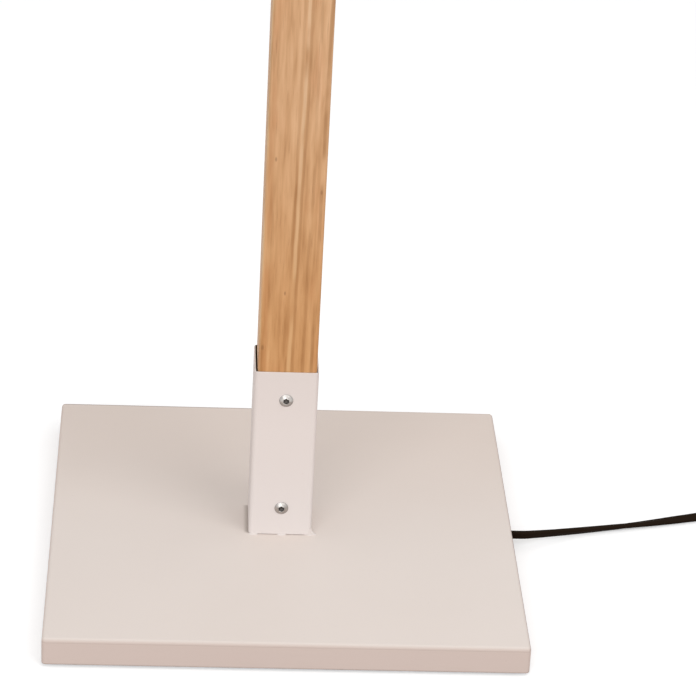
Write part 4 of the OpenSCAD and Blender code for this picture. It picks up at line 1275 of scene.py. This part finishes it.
def cup_and_holder():
    wall, radius, tall, bend = 1.2, 25.0, 70.0, 6.0
    profile = [(0, tall), (radius, tall, bend), (radius, 0, 0.35), (radius - wall, 0, 0.35)]
    profile += [(radius - wall, tall - wall, bend - wall), (0, tall - wall)]
    lathed("cup", "holder_cup", profile, "lamp_head", WHITE, closed=False)
    piece("hinge_lug", eased("head_lug", 0.5), "lamp_head", WHITE, "head_lug")
    profile = [(3.1, 0), (4.4, 0, 0.3), (4.4, 3.2), (5.6, 3.2, 0.4), (5.6, 5.2, 1.1), (3.1, 5.2, 0.8)]
    lathed("grommet", "cup_grommet", profile, "lamp_head", BLACK)
    crest, root, pitch = 19.5, 19.05, 2.6
    profile = [(0, 72), (17.0, 72, 1.0), (18.5, 70.5, 0.5), (18.5, 35, 0.4), (21.0, 34, 0.4), (21.0, 30)]
    profile.append((crest, 30))
    z = 27.0
    while z > 2:
        profile += [(crest, z), (root, z - 0.9), (crest, z - 1.8)]
        z -= pitch
    profile += [(19.3, 0, 0.5), (13.6, 0, 0.6), (13.6, 31), (0, 31)]
    lathed("bulb_holder", "lampholder", profile, "lamp_head", BLACK, closed=False)


def shade():
    low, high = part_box("shade")
    mouth, wall, bead = (high.x - low.x) / 2, 0.0012, 1.3
    values = {
        "Hole Radius": 0.0199,
        "Neck Radius": 0.030,
        "Mouth Radius": mouth,
        "Height": high.z - low.z,
        "Finish": WHITE,
    }
    bm = bmesh.new()
    bm.from_mesh(grown(shade_tree(), values))
    bmesh.ops.recalc_face_normals(bm, faces=bm.faces)
    outward = sum(face.normal.dot(Vector((*face.calc_center_median().xy, 0))) for face in bm.faces)
    if outward < 0:
        bmesh.ops.reverse_faces(bm, faces=bm.faces)
    bevel = {"width": 0.0022, "segments": 4, "limit_method": "ANGLE", "angle_limit": math.radians(20)}
    skin = worked(kept(bm), ("BEVEL", bevel), ("SOLIDIFY", {"thickness": wall, "offset": -1}))
    skin.transform(Matrix.Translation((*middle("shade").xy, high.z)))
    angles = [math.tau * k / 14 for k in range(14)]
    roll = [(mouth / MM - 1.1 + bead * math.cos(a), bead + bead * math.sin(a)) for a in angles]
    rim = turned(roll, seat("shade", "up"), count=144)
    piece("spun_shade", joined(skin, rim), "lamp_head", WHITE, "shade")


def grip_rib(radius, half, ease, count):
    """A small round bar along X, with eased ends."""
    profile = [(0, -half), (radius, -half, ease), (radius, half, ease), (0, half)]
    return turned(profile, (0, 0, 0), "right", closed=False, count=count)


def shade_ring():
    radius, bore, tall = 27.5, 19.5, 8.0
    profile = [(bore, 0, 0.4), (radius, 0, 0.8), (radius, tall, 0.6), (bore, tall, 0.3)]
    at = seat("shade_ring", "up")
    rib = grip_rib(radius=0.8, half=2.9, ease=0.5, count=12)
    spots = around(at + UP * (tall / 2 * MM), UP, RIGHT, (radius - 0.2) * MM, count=40)
    mesh = joined(turned(profile, at), fixed(rib, spots, BLACK, spin=0.0))
    piece("grip_ring", mesh, "lamp_head", BLACK, "shade_ring")


def bulb():
    profile = [(0, 0), (12.9, 0), (12.9, 6)]
    z = 6.0
    while z < 24:
        profile += [(12.5, z + 0.9, 0.6), (13.2, z + 2.2, 0.6), (12.5, z + 3.4, 0.6)]
        z += 3.5
    profile += [(12.0, 26.4, 0.6), (8.2, 27, 0.8), (4.8, 29.4, 0.6), (0, 29.5)]
    lathed("bulb_screw_cap", "bulb_cap", profile, "lamp_head", ALUMINIUM, closed=False)
    radius, drop, steps = 30.0, 52.0, 28
    outline = [(0, 0), (12.6, 0), (13.6, 1.2, 0.8), (14.4, 8.5, 4), (17.5, 15.5, 5)]
    start = math.radians(46)
    for i in range(steps):
        angle = start - (start + math.pi / 2) * i / steps
        outline.append((radius * math.cos(angle), drop - radius * math.sin(angle)))
    outline.append((0, drop + radius))
    lathed("opal_bulb", "bulb_globe", outline, "lamp_head", OPAL, "down", closed=False)


def switch():
    bore, radius, tall = 4.1, 7.0, 2.5
    at = seat("switch_bezel", "right")
    bezel = turned([(bore, 0), (radius, 0, 0.2), (radius, tall, 0.6), (bore, tall, 0.5)], at, "right")
    rib = grip_rib(radius=0.3, half=0.8, ease=0.1, count=8)
    spots = around(at + RIGHT * (0.95 * MM), RIGHT, UP, (radius - 0.05) * MM, count=36)
    mesh = joined(bezel, fixed(rib, spots, STEEL, spin=0.0))
    piece("switch_collar", mesh, "lamp_head", STEEL, "switch_bezel")
    profile = [(0, 0), (4.0, 0), (4.0, 11.5, 0.7), (2.9, 11.5, 0.5), (2.4, 11.15, 0.4), (0, 11.05)]
    lathed("push_button", "switch_button", profile, "push_switch", BLACK, "right", closed=False)


cup_and_holder()
shade()
shade_ring()
bulb()
switch()

# CAD solids that stay, with their own finishes
for node, material in {
    "base_pad": foam(),
    "bottom_cover": galvanised(),
    "cover_screws": STEEL,
    "ballast_block": cast_iron(),
    "switch_body": BLACK,
}.items():
    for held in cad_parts[node].material_slots:
        held.material = material


# Camera, floor and light

def add_camera():
    data = bpy.data.cameras.new("camera")
    data.sensor_width = SENSOR_MM
    data.lens = FOCAL_PIXELS / FRAME_PIXELS * SENSOR_MM
    data.clip_end = 200
    flat = math.cos(CAMERA_PITCH)
    forward = Vector((math.sin(CAMERA_YAW) * flat, math.cos(CAMERA_YAW) * flat, -math.sin(CAMERA_PITCH)))
    level = Vector((math.cos(CAMERA_YAW), -math.sin(CAMERA_YAW), 0))
    under = forward.cross(level)
    right = level * math.cos(CAMERA_ROLL) + under * math.sin(CAMERA_ROLL)
    down = under * math.cos(CAMERA_ROLL) - level * math.sin(CAMERA_ROLL)
    turn = Matrix((right, -down, -forward)).transposed().to_4x4()
    camera = added("camera", data)
    camera.matrix_world = Matrix.Translation(CAMERA_AT) @ turn
    scene.camera = camera


def emptied(owner):
    """A wire of the bare node tree of a material or world."""
    owner.use_nodes = True
    owner.node_tree.nodes.clear()
    return Wire(owner.node_tree)


def show(wire, kind, lit, seen):
    """Ends a tree with what lights the object and what is seen straight, in gloss or through glass."""
    path = wire.tree.nodes.new("ShaderNodeLightPath")
    names = ("Is Camera Ray", "Is Glossy Ray", "Is Transmission Ray")
    rays = [Wire(wire.tree, path.outputs[name]) for name in names]
    factor = wire.math("MINIMUM", rays[0] + rays[1] + rays[2], 1.0)
    blend = wire.node("ShaderNodeMixShader", None, {0: factor, 1: lit, 2: seen})
    wire.feed(wire.tree.nodes.new(kind).inputs["Surface"], blend)


def add_floor():
    side = 80.0
    mesh = bpy.data.meshes.new("floor")
    corners = [(-side, -side, 0), (side, -side, 0), (side, side, 0), (-side, side, 0)]
    mesh.from_pydata(corners, [], [(0, 1, 2, 3)])
    material = bpy.data.materials.new("pale_floor")
    wire = emptied(material)
    glow = wire.node("ShaderNodeEmission", None, {"Color": (1, 1, 1, 1), "Strength": 0.375})
    pale = wire.node("ShaderNodeBsdfDiffuse", None, {"Color": (0.80, 0.80, 0.80, 1)})
    board = wire.node("ShaderNodeBsdfDiffuse", None, {"Color": (0.24, 0.13, 0.09, 1)})
    show(wire, "ShaderNodeOutputMaterial", board, wire.node("ShaderNodeAddShader", None, {0: glow, 1: pale}))
    mesh.materials.append(material)
    added("floor", mesh)


def add_world():
    scene.world = bpy.data.worlds.new("studio")
    wire = emptied(scene.world)
    room = wire.node("ShaderNodeBackground", None, {"Color": (1, 1, 1, 1), "Strength": 0.66})
    white = wire.node("ShaderNodeBackground", None, {"Color": (1, 1, 1, 1), "Strength": 1.0})
    show(wire, "ShaderNodeOutputWorld", room, white)


def add_lamp(name, at, aim, size, power, colour):
    data = bpy.data.lights.new(name, "AREA")
    data.shape = "SQUARE"
    data.size = size
    data.energy = power
    data.color = colour
    lamp = added(name, data)
    lamp.location = at
    lamp.rotation_euler = (Vector(aim) - Vector(at)).to_track_quat("-Z", "Y").to_euler()
    lamp.visible_camera = False


add_camera()
add_floor()
add_world()
add_lamp("key", at=(1.05, -1.10, 1.70), aim=(0, 0, 0.1), size=1.3, power=12.0, colour=(1.0, 1.0, 1.0))
add_lamp("fill", at=(-0.70, -2.20, 1.15), aim=(0, 0, 0.25), size=1.6, power=25.0, colour=(0.97, 0.985, 1.0))
